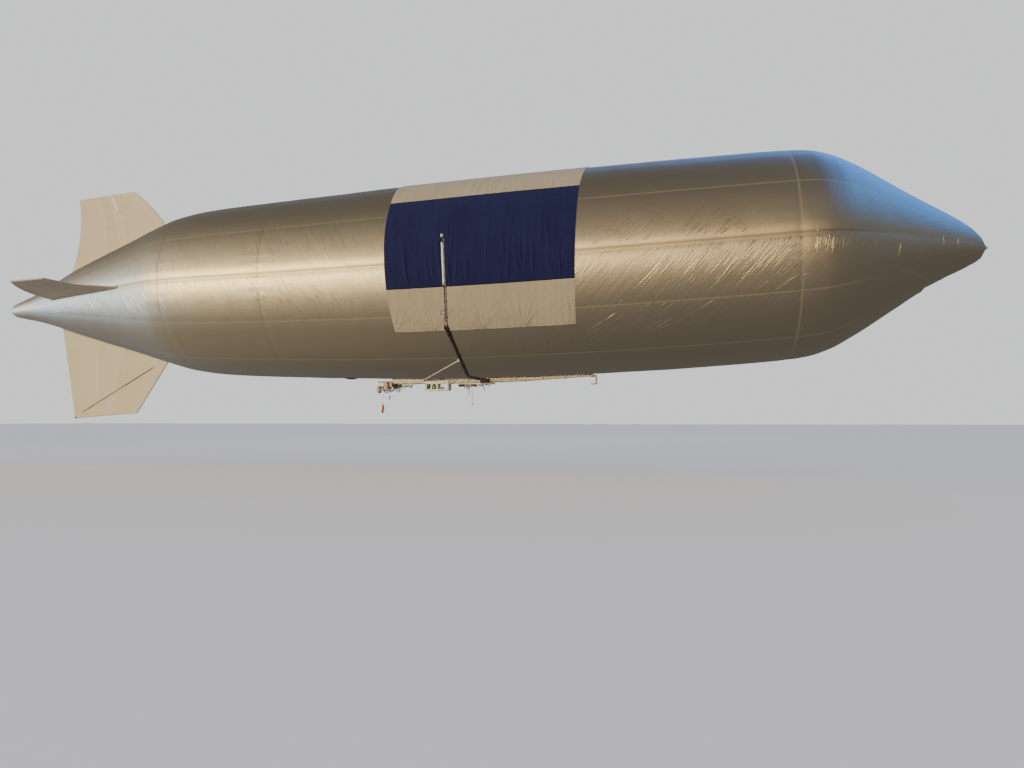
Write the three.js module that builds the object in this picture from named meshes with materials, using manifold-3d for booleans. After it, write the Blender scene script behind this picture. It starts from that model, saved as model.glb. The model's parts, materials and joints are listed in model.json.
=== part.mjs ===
// An unmanned film airship: a gas hull with four fins, a draped banner, a keel spar
// with its boxes under the belly, and an antenna mast on an outrigger arm.
// Millimetres. X runs to the nose, Y to port, Z up; the origin is amidships on the hull's axis.
import * as THREE from 'three';
import { mergeVertices } from 'three/addons/utils/BufferGeometryUtils.js';
import Module from 'manifold-3d';

const wasm = await Module();
wasm.setup();

// Hull
const noseX = 14000;
const tailX = -14000;
const filmWall = 10;
const hullSides = 48;
const seat = 0.3; // gap left between two pieces that touch
const bellySag = 169; // how far the loaded middle hangs below a straight axis
const sagReach = 11000;
const tailDroop = 270;
const tailDroopFrom = -6500;
const noseDroop = 110;
const noseDroopFrom = 10000;

// Rings of the hull from tail to nose. Columns: x, radius, and how deep the half below the
// axis is as a share of the radius: the film under the nose has fallen in behind a crease.
const hullRings = [
  [-13960, 110, 1],
  [-13830, 200, 1],
  [-13500, 300, 1],
  [-13000, 430, 1],
  [-11000, 1130, 1],
  [-9000, 1760, 1],
  [-7900, 2120, 1],
  [-7300, 2290, 1],
  [-6700, 2390, 1],
  [-6000, 2450, 1],
  [-3000, 2585, 1],
  [0, 2680, 1],
  [3000, 2720, 1],
  [6000, 2700, 1],
  [8200, 2655, 1],
  [9400, 2610, 1],
  [9900, 2560, 1],
  [10350, 2430, 1],
  [10900, 2160, 0.995],
  [11900, 1555, 0.96],
  [12420, 1245, 0.91],
  [12500, 1200, 0.86],
  [13200, 800, 0.82],
  [13650, 500, 0.85],
  [13880, 270, 1],
  [13975, 120, 1],
];

// Fins. Columns: name, clock angle from starboard, root front x, tip front x, tip rear x,
// root rear x, tip front height and tip rear height above the hull's axis, how far forward
// the front and the rear edge bow at their middle, and x and height of a kink in the front edge.
const finTable = [
  ['fin_upper', 90, -8330, -9600, -11550, -11900, 3375, 3275, 130, 190, null],
  ['fin_lower', -90, -8350, -9440, -11620, -12110, 3465, 3575, 0, 0, null],
  ['fin_starboard', 0, -8500, -9430, -10500, -11700, 3470, 3400, 0, -210, [-9350, 2560]],
  ['fin_port', 180, -8500, -9430, -10500, -11700, 3470, 3400, 0, -210, [-9350, 2560]],
];
const finThickness = 40;
const finAxisZ = -135;
const bowSteps = 5;
const battenDiameter = 56;

// Banner over the crown
const bannerRearX = -330;
const bannerFrontX = 4440;
const bannerGap = 2;
const bannerThickness = 12;
const panelTopClock = 38.5; // above the equator
const panelFootClock = -13.5;
const hemClock = -36.5;

// Keel spar and what it carries
const keelTopZ = -2885;
const keelHalfWidth = 100;
const keelChamfer = 18;
// Keel sections. Columns: x, depth.
const keelSections = [
  [-1560, 30],
  [-1128, 36],
  [-1085, 85],
  [560, 118],
  [1670, 124],
  [2650, 112],
  [3720, 66],
  [4530, 34],
];
// Keel lengths that bolt end to end. Columns: name, rear x, front x.
const keelTable = [
  ['keel_aft', -1560, 560],
  ['keel_centre', 560, 2650],
  ['keel_front', 2650, 4530],
];
const collarWidth = 34;
const collarRise = 9;
const collarXs = [-820, 545, 575, 1990, 2635, 2665, 3720];
const padXs = [-780, 150, 1050, 2250, 3150, 4180];
const padLength = 210;
const padWidth = 150;

// Outrigger arm to starboard, its brace, and the antenna mast on its tip
const armX = 1625;
const armDiameter = 72;
const armRootZ = -2960;
const elbowY = -2110;
const elbowZ = -2966;
const armTipY = -3770;
const armTipZ = -2030;
const elbowRadius = 190;
const braceRootX = -230;
const braceDiameter = 34;
const braceJoinShare = 0.375; // where the brace meets the sloping arm
const mastDiameter = 30;
const mastTopY = -4010;
const mastTopZ = 2;
const mastBottomY = -3815;
const mastBottomZ = -1930;
const antennaDiameter = 46;
const antennaSetback = 42; // from the mast's axis
const antennaLowShare = 0.47; // along the mast
const antennaHighShare = 0.955;
const feedLowShare = 0.075;
const feedDiameter = 24;

// Cords that hang from a lug under a box, each with something on its end.
// Columns: name, x, y, top z, drop, diameter, sway.
const cordTable = [
  ['pin_lanyard', -1430, -70, -3150, 380, 5, 10],
  ['ballast_lanyard', -1225, -60, -3075, 225, 5, 6],
  ['sensor_lead', 1060, -95, -3136, 210, 7, 12],
  ['test_lead', 1180, -80, -3136, 420, 9, 16],
];

const rad = THREE.MathUtils.degToRad;
const lerp = THREE.MathUtils.lerp;

const metalFilm = new THREE.MeshStandardMaterial({ color: 0xa89f8e, roughness: 0.38, metalness: 0.7 });
const finCloth = new THREE.MeshStandardMaterial({ color: 0xd8d2c0, roughness: 0.75, metalness: 0 });
const bannerCream = new THREE.MeshStandardMaterial({ color: 0xcfc4ae, roughness: 0.85, metalness: 0 });
const bannerNavy = new THREE.MeshStandardMaterial({ color: 0x1e2152, roughness: 0.85, metalness: 0 });
const creamPaint = new THREE.MeshStandardMaterial({ color: 0xe6dcbd, roughness: 0.5, metalness: 0 });
const carbonTube = new THREE.MeshStandardMaterial({ color: 0x2c2622, roughness: 0.55, metalness: 0.1 });
const blackPlastic = new THREE.MeshStandardMaterial({ color: 0x191919, roughness: 0.6, metalness: 0 });
const whitePaint = new THREE.MeshStandardMaterial({ color: 0xf4f3ee, roughness: 0.45, metalness: 0 });
const whiteRadome = new THREE.MeshStandardMaterial({ color: 0xf1efe8, roughness: 0.35, metalness: 0 });
const greyCable = new THREE.MeshStandardMaterial({ color: 0xa9a79f, roughness: 0.6, metalness: 0 });
const redCloth = new THREE.MeshStandardMaterial({ color: 0xb8322a, roughness: 0.85, metalness: 0 });

const airship = new THREE.Group();

function addPiece(name, geometry, material) {
  const mesh = new THREE.Mesh(geometry, material);
  mesh.name = name;
  airship.add(mesh);
  return mesh;
}

// A closed mesh becomes a solid that can be joined and cut.
function toSolid(geometry) {
  const bare = geometry.clone();
  bare.deleteAttribute('normal');
  bare.deleteAttribute('uv');
  const merged = mergeVertices(bare, 1e-3);
  return new wasm.Manifold(new wasm.Mesh({
    numProp: 3,
    vertProperties: new Float32Array(merged.attributes.position.array),
    triVerts: new Uint32Array(merged.index.array),
  }));
}

function toGeometry(solid) {
  const mesh = solid.getMesh();
  const geometry = new THREE.BufferGeometry();
  geometry.setAttribute('position', new THREE.BufferAttribute(new Float32Array(mesh.vertProperties), 3));
  geometry.setIndex(new THREE.BufferAttribute(new Uint32Array(mesh.triVerts), 1));
  return geometry;
}

const joined = (...parts) => parts.map(toSolid).reduce((sum, next) => sum.add(next));

// A body through rings of equal count, its ends closed by a point each.
function loft(rings, startPoint, endPoint) {
  const sides = rings[0].length;
  const points = [startPoint, ...rings.flat(), endPoint];
  const last = points.length - 1;
  const triangles = [];
  for (let i = 0; i < sides; i++) {
    const j = (i + 1) % sides;
    triangles.push([0, 1 + j, 1 + i]);
    for (let k = 0; k < rings.length - 1; k++) {
      const a = 1 + k * sides;
      const b = a + sides;
      triangles.push([a + i, a + j, b + i], [a + j, b + j, b + i]);
    }
    const end = 1 + (rings.length - 1) * sides;
    triangles.push([last, end + i, end + j]);
  }
  const volume = triangles.reduce((sum, [a, b, c]) => sum
    + points[a].dot(new THREE.Vector3().crossVectors(points[b], points[c])), 0);
  if (volume < 0) triangles.forEach((t) => t.reverse());
  const geometry = new THREE.BufferGeometry();
  geometry.setAttribute('position', new THREE.Float32BufferAttribute(points.flatMap((p) => p.toArray()), 3));
  geometry.setIndex(triangles.flat());
  return geometry;
}

const centreOf = (ring) => ring.reduce((sum, p) => sum.add(p), new THREE.Vector3()).divideScalar(ring.length);
const cappedLoft = (rings) => loft(rings, centreOf(rings[0]), centreOf(rings[rings.length - 1]));

function block(x0, x1, y0, y1, z0, z1) {
  const box = new THREE.BoxGeometry(x1 - x0, y1 - y0, z1 - z0);
  return box.translate((x0 + x1) / 2, (y0 + y1) / 2, (z0 + z1) / 2);
}

// A round bar between two points.
function bar(from, to, diameter, sides = 12) {
  const along = new THREE.Vector3().subVectors(to, from);
  const geometry = new THREE.CylinderGeometry(diameter / 2, diameter / 2, along.length(), sides);
  const turn = new THREE.Quaternion().setFromUnitVectors(new THREE.Vector3(0, 1, 0), along.clone().normalize());
  geometry.applyQuaternion(turn);
  const middle = new THREE.Vector3().addVectors(from, to).multiplyScalar(0.5);
  return geometry.translate(middle.x, middle.y, middle.z);
}

// A tube of round section swept along a curve.
function sweptTube(curve, diameter, steps, sides = 12) {
  const section = new THREE.Shape();
  for (let i = 0; i < sides; i++) {
    const a = (i / sides) * 2 * Math.PI;
    const x = Math.cos(a) * diameter / 2;
    const y = Math.sin(a) * diameter / 2;
    if (i === 0) section.moveTo(x, y);
    else section.lineTo(x, y);
  }
  section.closePath();
  return new THREE.ExtrudeGeometry(section, { steps, extrudePath: curve, bevelEnabled: false, curveSegments: 1 });
}

// Height of the hull's axis at a ring.
function axisZ(x) {
  const sag = bellySag * Math.max(0, 1 - (x / sagReach) ** 2);
  const tail = tailDroop * Math.max(0, (x - tailDroopFrom) / (tailX - tailDroopFrom)) ** 1.5;
  const nose = noseDroop * Math.max(0, (x - noseDroopFrom) / (noseX - noseDroopFrom)) ** 1.5;
  return -sag - tail - nose;
}

const hullTable = hullRings.map(([x, radius, low]) => ({ x, radius, low, z: axisZ(x) }));

// Radius and axis height between two rings follow the straight film between them.
function hullAt(x) {
  const next = hullTable.findIndex((ring) => ring.x >= x);
  const b = hullTable[Math.max(1, next)];
  const a = hullTable[Math.max(1, next) - 1];
  const t = (x - a.x) / (b.x - a.x);
  return { radius: lerp(a.radius, b.radius, t), z: lerp(a.z, b.z, t) };
}

// A point on the faceted hull: clock 0 is starboard, 90 the crown.
function hullPoint(x, clock, outward) {
  const step = 360 / hullSides;
  const { radius, z } = hullAt(x);
  const inFacet = (((clock % step) + step) % step) - step / 2;
  const reach = (radius + outward) * Math.cos(rad(step / 2)) / Math.cos(rad(inFacet));
  return new THREE.Vector3(x, -reach * Math.cos(rad(clock)), z + reach * Math.sin(rad(clock)));
}

// The hull's body, moved outward by so much along its surface.
function hullBody(outward) {
  const rings = hullTable.map(({ x, radius, low, z }, k) => {
    const before = hullTable[Math.max(0, k - 1)];
    const after = hullTable[Math.min(hullTable.length - 1, k + 1)];
    const slope = Math.atan2(after.radius - before.radius, after.x - before.x);
    const moved = radius + outward * Math.cos(slope);
    const shift = x - outward * Math.sin(slope);
    const ring = [];
    for (let i = 0; i < hullSides; i++) {
      const a = (i / hullSides) * 2 * Math.PI;
      const up = moved * Math.sin(a);
      ring.push(new THREE.Vector3(shift, -moved * Math.cos(a), z + (up < 0 ? up * low : up)));
    }
    return ring;
  });
  const tail = new THREE.Vector3(tailX - outward, 0, axisZ(tailX));
  const nose = new THREE.Vector3(noseX + outward, 0, axisZ(noseX));
  return toSolid(loft(rings, tail, nose));
}

const hullOuter = hullBody(0);
const hullClear = hullBody(seat);

// Belly gas valve: its port is the opening through the film.
const valveX = -2400;
const portDiameter = 220;
const valveFlangeDiameter = 360;

function makeEnvelope() {
  const belly = hullAt(valveX);
  const bellyZ = belly.z - belly.radius;
  const port = bar(new THREE.Vector3(valveX, 0, bellyZ - 60), new THREE.Vector3(valveX, 0, bellyZ + 60),
    portDiameter, 24);
  const shell = hullOuter.subtract(hullBody(-filmWall)).subtract(toSolid(port));
  addPiece('envelope', toGeometry(shell), metalFilm);

  const flange = bar(new THREE.Vector3(valveX, 0, bellyZ - 16), new THREE.Vector3(valveX, 0, bellyZ + 12),
    valveFlangeDiameter, 24);
  const neck = bar(new THREE.Vector3(valveX, 0, bellyZ - 34), new THREE.Vector3(valveX, 0, bellyZ + 40),
    portDiameter - 8, 24);
  const seated = toSolid(flange).subtract(hullClear).add(toSolid(neck));
  addPiece('belly_valve', toGeometry(seated), blackPlastic);
}

// Round end caps of laminated film, and the mooring lug on the nose.
const capReach = 300;
const capWall = 7;
const lugThickness = 14;

function makeEndCaps() {
  const cover = hullBody(capWall).subtract(hullClear);
  const noseHalf = toSolid(block(noseX - capReach, noseX + 100, -900, 900, -1000, 900));
  const tailHalf = toSolid(block(tailX - 100, tailX + capReach, -900, 900, -1300, 900));
  addPiece('nose_cap', toGeometry(cover.intersect(noseHalf)), metalFilm);
  addPiece('tail_cap', toGeometry(cover.intersect(tailHalf)), metalFilm);

  const z = axisZ(noseX);
  const footX = noseX + capWall + seat;
  const foot = bar(new THREE.Vector3(footX, 0, z), new THREE.Vector3(footX + 18, 0, z), 120, 24);
  const lug = block(footX + 10, footX + 78, -lugThickness / 2, lugThickness / 2, z - 34, z + 34);
  const hole = bar(new THREE.Vector3(footX + 54, -40, z), new THREE.Vector3(footX + 54, 40, z), 26, 16);
  const eye = joined(foot, lug).subtract(toSolid(hole));
  addPiece('mooring_eye', toGeometry(eye), blackPlastic);
}

// A flat fin whose root is cut to the hull, with one batten standing proud on both faces.
function makeFin(row) {
  const [name, clock, rootFront, tipFront, tipRear, rootRear, frontHeight, rearHeight, frontBow, rearBow,
    kink] = row;
  const inward = 450;
  const at = (x, height) => new THREE.Vector2(x, height);
  const edge = (from, to, bow) => Array.from({ length: bowSteps + 1 }, (_, i) => {
    const t = i / bowSteps;
    return from.clone().lerp(to, t).add(at(4 * bow * t * (1 - t), 0));
  });
  const frontRoot = at(rootFront, hullAt(rootFront).radius);
  const frontTip = at(tipFront, frontHeight);
  const outline = new THREE.Shape([
    at(rootFront, hullAt(rootFront).radius - inward),
    ...(kink ? [frontRoot, at(...kink), frontTip] : edge(frontRoot, frontTip, frontBow)),
    ...edge(at(tipRear, rearHeight), at(rootRear, hullAt(rootRear).radius), rearBow),
    at(rootRear, hullAt(rootRear).radius - inward),
  ]);
  const plate = new THREE.ExtrudeGeometry(outline, { depth: finThickness, bevelEnabled: false });
  plate.translate(0, 0, -finThickness / 2);
  const battenRoot = new THREE.Vector3((rootFront + rootRear) / 2 - 150, hullAt(-10000).radius - 300, 0);
  const battenTip = new THREE.Vector3(lerp(tipFront, tipRear, 0.4), lerp(frontHeight, rearHeight, 0.4) - 20, 0);
  const fin = joined(plate, bar(battenRoot, battenTip, battenDiameter, 8));
  const turned = toGeometry(fin);
  turned.rotateX(rad(180 - clock));
  turned.translate(0, 0, finAxisZ);
  addPiece(name, toGeometry(toSolid(turned).subtract(hullClear)), finCloth);
}

// One band of the banner, lying on the hull between two clock angles.
function makeBannerBand(name, fromClock, toClock, material) {
  const step = 360 / hullSides;
  const inside = 0.01;
  const clocks = [fromClock];
  for (let c = Math.ceil((fromClock + inside) / step) * step; c < toClock - inside; c += step) clocks.push(c);
  clocks.push(toClock);
  const xs = [bannerRearX, 0, 3000, bannerFrontX];
  const rings = xs.map((x) => [
    ...clocks.map((c) => hullPoint(x, c, bannerGap + bannerThickness)),
    ...clocks.slice().reverse().map((c) => hullPoint(x, c, bannerGap)),
  ]);
  // The ends of a thin arc are closed by strips, because a point in its middle would lie outside it.
  const sides = rings[0].length;
  const points = rings.flat();
  const triangles = [];
  const lastRing = (rings.length - 1) * sides;
  for (let k = 0; k < rings.length - 1; k++) {
    for (let i = 0; i < sides; i++) {
      const j = (i + 1) % sides;
      const a = k * sides;
      const b = a + sides;
      triangles.push([a + i, b + i, a + j], [a + j, b + i, b + j]);
    }
  }
  for (let i = 0; i < clocks.length - 1; i++) {
    const inner = sides - 1 - i;
    triangles.push([i, i + 1, inner], [i + 1, inner - 1, inner]);
    triangles.push([lastRing + i, lastRing + inner, lastRing + i + 1]);
    triangles.push([lastRing + i + 1, lastRing + inner, lastRing + inner - 1]);
  }
  const geometry = new THREE.BufferGeometry();
  geometry.setAttribute('position', new THREE.Float32BufferAttribute(points.flatMap((p) => p.toArray()), 3));
  geometry.setIndex(triangles.flat());
  addPiece(name, geometry, material);
}

function makeBanner() {
  const slit = 0.01; // degrees between two bands: about half a millimetre on the hull
  makeBannerBand('banner_crown', panelTopClock + slit, 180 - panelTopClock - slit, bannerCream);
  makeBannerBand('banner_panel_starboard', panelFootClock, panelTopClock, bannerNavy);
  makeBannerBand('banner_hem_starboard', hemClock, panelFootClock - slit, bannerCream);
  makeBannerBand('banner_panel_port', 180 - panelTopClock, 180 - panelFootClock, bannerNavy);
  makeBannerBand('banner_hem_port', 180 - panelFootClock + slit, 180 - hemClock, bannerCream);
}

function keelDepthAt(x) {
  const next = Math.max(1, keelSections.findIndex(([at]) => at >= x));
  const [xb, depthB] = keelSections[next];
  const [xa, depthA] = keelSections[next - 1];
  return lerp(depthA, depthB, (x - xa) / (xb - xa));
}

// Keel section: a box with its long edges taken off.
function keelRing(x, grow) {
  const half = keelHalfWidth + grow;
  const top = keelTopZ + grow;
  const foot = keelTopZ - keelDepthAt(x) - grow;
  const edge = Math.min(keelChamfer, (top - foot) / 3);
  return [
    [-half + edge, top], [half - edge, top], [half, top - edge], [half, foot + edge],
    [half - edge, foot], [-half + edge, foot], [-half, foot + edge], [-half, top - edge],
  ].map(([y, z]) => new THREE.Vector3(x, y, z));
}

function makeKeel() {
  for (const [name, rear, front] of keelTable) {
    const x0 = rear + seat;
    const between = keelSections.map(([x]) => x).filter((x) => x > x0 && x < front);
    let keel = toSolid(cappedLoft([x0, ...between, front].map((x) => keelRing(x, 0))));
    for (const x of collarXs.filter((at) => at > rear && at < front)) {
      const from = Math.max(x0, x - collarWidth / 2);
      const to = Math.min(front, x + collarWidth / 2);
      keel = keel.add(toSolid(cappedLoft([from, to].map((at) => keelRing(at, collarRise)))));
    }
    for (const x of padXs.filter((at) => at > rear && at < front)) {
      const pad = block(x - padLength / 2, x + padLength / 2, -padWidth / 2, padWidth / 2,
        keelTopZ - 12, keelTopZ + 160);
      keel = keel.add(toSolid(pad).subtract(hullClear));
    }
    addPiece(name, toGeometry(keel), creamPaint);
  }
}

// Boxes that hang under the keel. Columns: name, rear x, front x, half width, top z, foot z, material.
const boxTable = [
  ['battery_box', -1402, -1248, 130, -2921, -3138, creamPaint],
  ['ballast_box', -1232, -1132, 110, -2921, -3060, creamPaint],
  ['avionics_tray', -1110, -590, 120, -3002, -3105, blackPlastic],
  ['payload_box', 760, 1290, 125, -3022, -3120, carbonTube],
  ['centre_saddle', 1410, 1790, 130, -3019, -3062, creamPaint],
];

// Adds the lug of each cord that hangs between two x values, from the cord's top up to topZ.
function withLugs(solid, rear, front, topZ) {
  let result = solid;
  for (const [, x, y, cordTop] of cordTable.filter(([, at]) => at > rear && at < front)) {
    result = result.add(toSolid(block(x - 11, x + 11, y - 11, y + 11, cordTop + seat, topZ)));
  }
  return result;
}

function makeBoxes() {
  for (const [name, rear, front, half, top, foot, material] of boxTable) {
    const box = toSolid(block(rear, front, -half, half, foot, top));
    addPiece(name, toGeometry(withLugs(box, rear, front, foot + 5)), material);
  }
  // Trim unit: a small motor pod on a broad arm behind the battery box.
  const trimArm = block(-1560, -1402 - seat, -85, 85, -3060, -3030);
  const trimPod = block(-1618, -1508, -70, 70, -3220, -3000);
  addPiece('trim_unit', toGeometry(withLugs(joined(trimArm, trimPod), -1500, -1402, -3055)), carbonTube);
  // Front bracket under the keel's thin end.
  const frontX = 4400;
  const bracketTop = keelTopZ - keelDepthAt(frontX) - 1;
  const ledge = block(frontX, frontX + 190, -60, 60, bracketTop - 14, bracketTop);
  const drop = block(frontX + 150, frontX + 190, -60, 60, bracketTop - 120, bracketTop);
  addPiece('front_bracket', toGeometry(joined(ledge, drop)), creamPaint);
}

// The open crate hung around the keel's foot: two windows, open from side to side.
const crateRearX = -150;
const crateFrontX = 525;
const crateHalfWidth = 135;
const crateTopZ = -2932;
const crateFootZ = -3188;
const crateRail = 30;

function makeCrate() {
  const middle = (crateRearX + crateFrontX) / 2;
  let crate = toSolid(block(crateRearX, crateFrontX, -crateHalfWidth, crateHalfWidth, crateFootZ, crateTopZ));
  crate = crate.subtract(toSolid(cappedLoft([crateRearX - 50, crateFrontX + 50].map((x) => keelRing(x, seat)))));
  const paneTop = keelTopZ - keelDepthAt(crateFrontX) - 4;
  const panes = [
    [crateRearX + crateRail, middle - crateRail / 2],
    [middle + crateRail / 2, crateFrontX - crateRail],
  ];
  for (const [from, to] of panes) {
    crate = crate.subtract(toSolid(block(from, to, -crateHalfWidth - 10, crateHalfWidth + 10,
      crateFootZ + crateRail, paneTop)));
  }
  addPiece('equipment_frame', toGeometry(crate), whitePaint);
}

function makeOutrigger() {
  const at = (y, z) => new THREE.Vector3(armX, y, z);
  const elbow = at(elbowY, elbowZ);
  const root = at(-keelHalfWidth - seat, armRootZ);
  const tip = at(armTipY, armTipZ);
  const inner = elbow.clone().lerp(root, elbowRadius / elbow.distanceTo(root));
  const outer = elbow.clone().lerp(tip, elbowRadius / elbow.distanceTo(tip));
  const path = new THREE.CurvePath();
  path.add(new THREE.LineCurve3(root, inner));
  path.add(new THREE.QuadraticBezierCurve3(inner, elbow, outer));
  path.add(new THREE.LineCurve3(outer, tip));
  const flange = bar(root, at(-keelHalfWidth - 16, armRootZ), armDiameter + 34, 16);
  addPiece('outrigger_arm', toGeometry(joined(sweptTube(path, armDiameter, 32, 10), flange)), carbonTube);

  // Brace from the keel's side to a clamp behind the arm.
  const join = elbow.clone().lerp(tip, braceJoinShare);
  const braceRoot = new THREE.Vector3(braceRootX, -keelHalfWidth - 12, keelTopZ - 23);
  const braceEnd = join.clone().add(new THREE.Vector3(-armDiameter / 2 - 24, 0, 0));
  const plateY = braceRoot.y + 6 - seat;
  const plate = block(braceRootX - 60, braceRootX + 60, plateY - 6, plateY + 6,
    braceRoot.z - 20, braceRoot.z + 20);
  const clampEnd = block(-22, 22, -34, 34, -30, 30).translate(braceEnd.x, braceEnd.y, braceEnd.z);
  addPiece('outrigger_brace', toGeometry(joined(bar(braceRoot, braceEnd, braceDiameter, 10), plate, clampEnd)),
    creamPaint);
  makeMast(tip, new THREE.Vector3().subVectors(tip, elbow).normalize());
}

// The mast: a clamp on the arm's tip, a slender tube, and a rod antenna on its rear side.
function makeMast(armTip, outward) {
  const up = new THREE.Vector3(0, mastTopY - mastBottomY, mastTopZ - mastBottomZ).normalize();
  const clampBase = armTip.clone().addScaledVector(outward, seat);
  const clampTop = clampBase.clone().addScaledVector(outward, 90);
  const clampMiddle = clampBase.clone().lerp(clampTop, 0.5);
  const socketTop = clampMiddle.clone().addScaledVector(up, 96);
  addPiece('mast_clamp', toGeometry(joined(bar(clampBase, clampTop, 104, 12),
    bar(clampMiddle, socketTop, 64, 12))), blackPlastic);

  const foot = socketTop.clone().addScaledVector(up, seat);
  const top = new THREE.Vector3(armX, mastTopY, mastTopZ);
  addPiece('mast', bar(foot, top, mastDiameter, 12), carbonTube);

  // Antenna and the feed tube below it, each held to the mast by lugs of its own.
  const behind = (share, setback) => foot.clone().lerp(top, share).add(new THREE.Vector3(-setback, 0, 0));
  const lug = (share, setback) => {
    const at = behind(share, (setback + mastDiameter / 2) / 2 + 1);
    const reach = (setback - mastDiameter / 2) / 2;
    return block(-reach + 1, reach - 1, -9, 9, -16, 16).translate(at.x, at.y, at.z);
  };
  const antenna = joined(bar(behind(antennaLowShare, antennaSetback), behind(antennaHighShare, antennaSetback),
    antennaDiameter, 16), lug(antennaLowShare + 0.05, antennaSetback), lug(antennaHighShare - 0.05, antennaSetback));
  addPiece('antenna', toGeometry(antenna), whiteRadome);
  const feedSetback = 34;
  const feedTop = behind(antennaLowShare, feedSetback).addScaledVector(up, -seat);
  const feed = joined(bar(behind(feedLowShare, feedSetback), feedTop, feedDiameter, 12),
    lug(feedLowShare + 0.04, feedSetback), lug(antennaLowShare - 0.06, feedSetback));
  addPiece('antenna_feed', toGeometry(feed), greyCable);

  // Bracket and ball-shaped receiver on the mast's top.
  const capFoot = top.clone().addScaledVector(up, seat);
  const capTop = capFoot.clone().addScaledVector(up, 42);
  const shelf = block(-78, 24, -22, 22, 12, 34).translate(capFoot.x, capFoot.y, capFoot.z);
  addPiece('mast_bracket', toGeometry(joined(bar(capFoot, capTop, 44, 12), shelf)), blackPlastic);
  const ball = new THREE.SphereGeometry(34, 14, 10);
  const stem = bar(new THREE.Vector3(0, 0, -38), new THREE.Vector3(0, 0, -10), 30, 12);
  const receiver = toGeometry(joined(ball, stem));
  receiver.translate(capFoot.x - 40, capFoot.y, capFoot.z + 34 + 38 + seat);
  addPiece('receiver_ball', receiver, whiteRadome);
}

// A hanging cord leaves its lug straight down and sways a little on the way.
function cordPoint([, x, y, topZ, drop, , sway], t) {
  return new THREE.Vector3(x + sway * Math.sin(Math.PI * t) ** 2, y - sway * t * t, topZ - drop * t);
}

function makeCords() {
  const ends = cordTable.map((row) => {
    const [name, , , , drop, diameter] = row;
    const steps = Math.round(drop / (2.5 * diameter));
    const points = Array.from({ length: steps + 1 }, (_, i) => cordPoint(row, i / steps));
    const route = new THREE.CatmullRomCurve3(points);
    addPiece(name, sweptTube(route, diameter, steps, 8), blackPlastic);
    return cordPoint(row, 1).add(new THREE.Vector3(0, 0, -seat - 0.6));
  });
  const [pinEnd, ballastEnd, sensorEnd, leadEnd] = ends;
  const ribbon = (end, width, length) => block(end.x - width / 2, end.x + width / 2,
    end.y - 2, end.y + 2, end.z - length, end.z);
  addPiece('pin_flag', ribbon(pinEnd, 62, 250), redCloth);
  addPiece('ballast_flag', ribbon(ballastEnd, 48, 110), redCloth);
  addPiece('sensor_plug', bar(sensorEnd, sensorEnd.clone().add(new THREE.Vector3(0, 0, -45)), 24, 12), whiteRadome);
  addPiece('test_plug', bar(leadEnd, leadEnd.clone().add(new THREE.Vector3(0, 0, -62)), 26, 12), blackPlastic);
}

makeEnvelope();
makeEndCaps();
finTable.forEach(makeFin);
makeBanner();
makeKeel();
makeBoxes();
makeCrate();
makeOutrigger();
makeCords();

export default airship;
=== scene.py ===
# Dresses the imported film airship: metallised hull, cloth banner, fins, keel gear and mast.
# Metres. X runs to the nose, Y to port, Z up; the origin is amidships on the hull's axis.
import json
import math
import random

import bpy
import numpy as np
from mathutils import Matrix, Vector

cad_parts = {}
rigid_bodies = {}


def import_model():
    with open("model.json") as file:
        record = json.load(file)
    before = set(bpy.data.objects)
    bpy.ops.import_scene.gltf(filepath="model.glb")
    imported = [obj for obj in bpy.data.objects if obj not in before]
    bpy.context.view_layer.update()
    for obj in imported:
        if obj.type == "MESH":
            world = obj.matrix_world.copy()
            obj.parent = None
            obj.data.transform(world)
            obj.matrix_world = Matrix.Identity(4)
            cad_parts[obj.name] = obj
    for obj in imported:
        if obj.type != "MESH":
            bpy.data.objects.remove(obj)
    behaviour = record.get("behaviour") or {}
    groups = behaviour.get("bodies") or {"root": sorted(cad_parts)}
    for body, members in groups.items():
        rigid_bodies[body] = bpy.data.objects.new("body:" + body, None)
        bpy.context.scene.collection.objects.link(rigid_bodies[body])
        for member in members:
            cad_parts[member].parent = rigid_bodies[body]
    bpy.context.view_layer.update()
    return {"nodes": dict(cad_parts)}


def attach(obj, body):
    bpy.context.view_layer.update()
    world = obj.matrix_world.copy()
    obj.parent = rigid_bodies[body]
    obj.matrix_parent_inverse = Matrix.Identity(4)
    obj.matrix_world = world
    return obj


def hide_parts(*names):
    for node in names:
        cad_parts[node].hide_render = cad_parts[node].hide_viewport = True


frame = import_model()
body = "root"
print("frame loaded")


def hexColour(text, alpha=1.0):
    values = [int(text[i:i + 2], 16) / 255 for i in (1, 3, 5)]
    linear = [v / 12.92 if v <= 0.04045 else ((v + 0.055) / 1.055) ** 2.4 for v in values]
    return (*linear, alpha)


def setInputs(node, inputs):
    # A value is a number, a hex colour, a socket, or a node, which stands for its first open output.
    for name, value in inputs.items():
        if isinstance(value, str):
            value = hexColour(value)
        if isinstance(value, bpy.types.Node):
            value = next(socket for socket in value.outputs if socket.enabled)
        if isinstance(value, bpy.types.NodeSocket):
            node.id_data.links.new(value, node.inputs[name])
        else:
            node.inputs[name].default_value = value


def addNode(tree, kind, inputs=None, **settings):
    node = tree.nodes.new("ShaderNode" + kind)
    for name, value in settings.items():
        setattr(node, name, value)
    setInputs(node, inputs or {})
    return node


def newMaterial(name, base, roughness, metallic=0.0, **sockets):
    material = bpy.data.materials.new(name)
    material.use_nodes = True
    tree = material.node_tree
    tree.nodes.clear()
    surface = addNode(tree, "BsdfPrincipled", {
        "Base Color": base, "Roughness": roughness, "Metallic": metallic, **sockets})
    addNode(tree, "OutputMaterial", {"Surface": surface})
    return material, tree, surface


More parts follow.
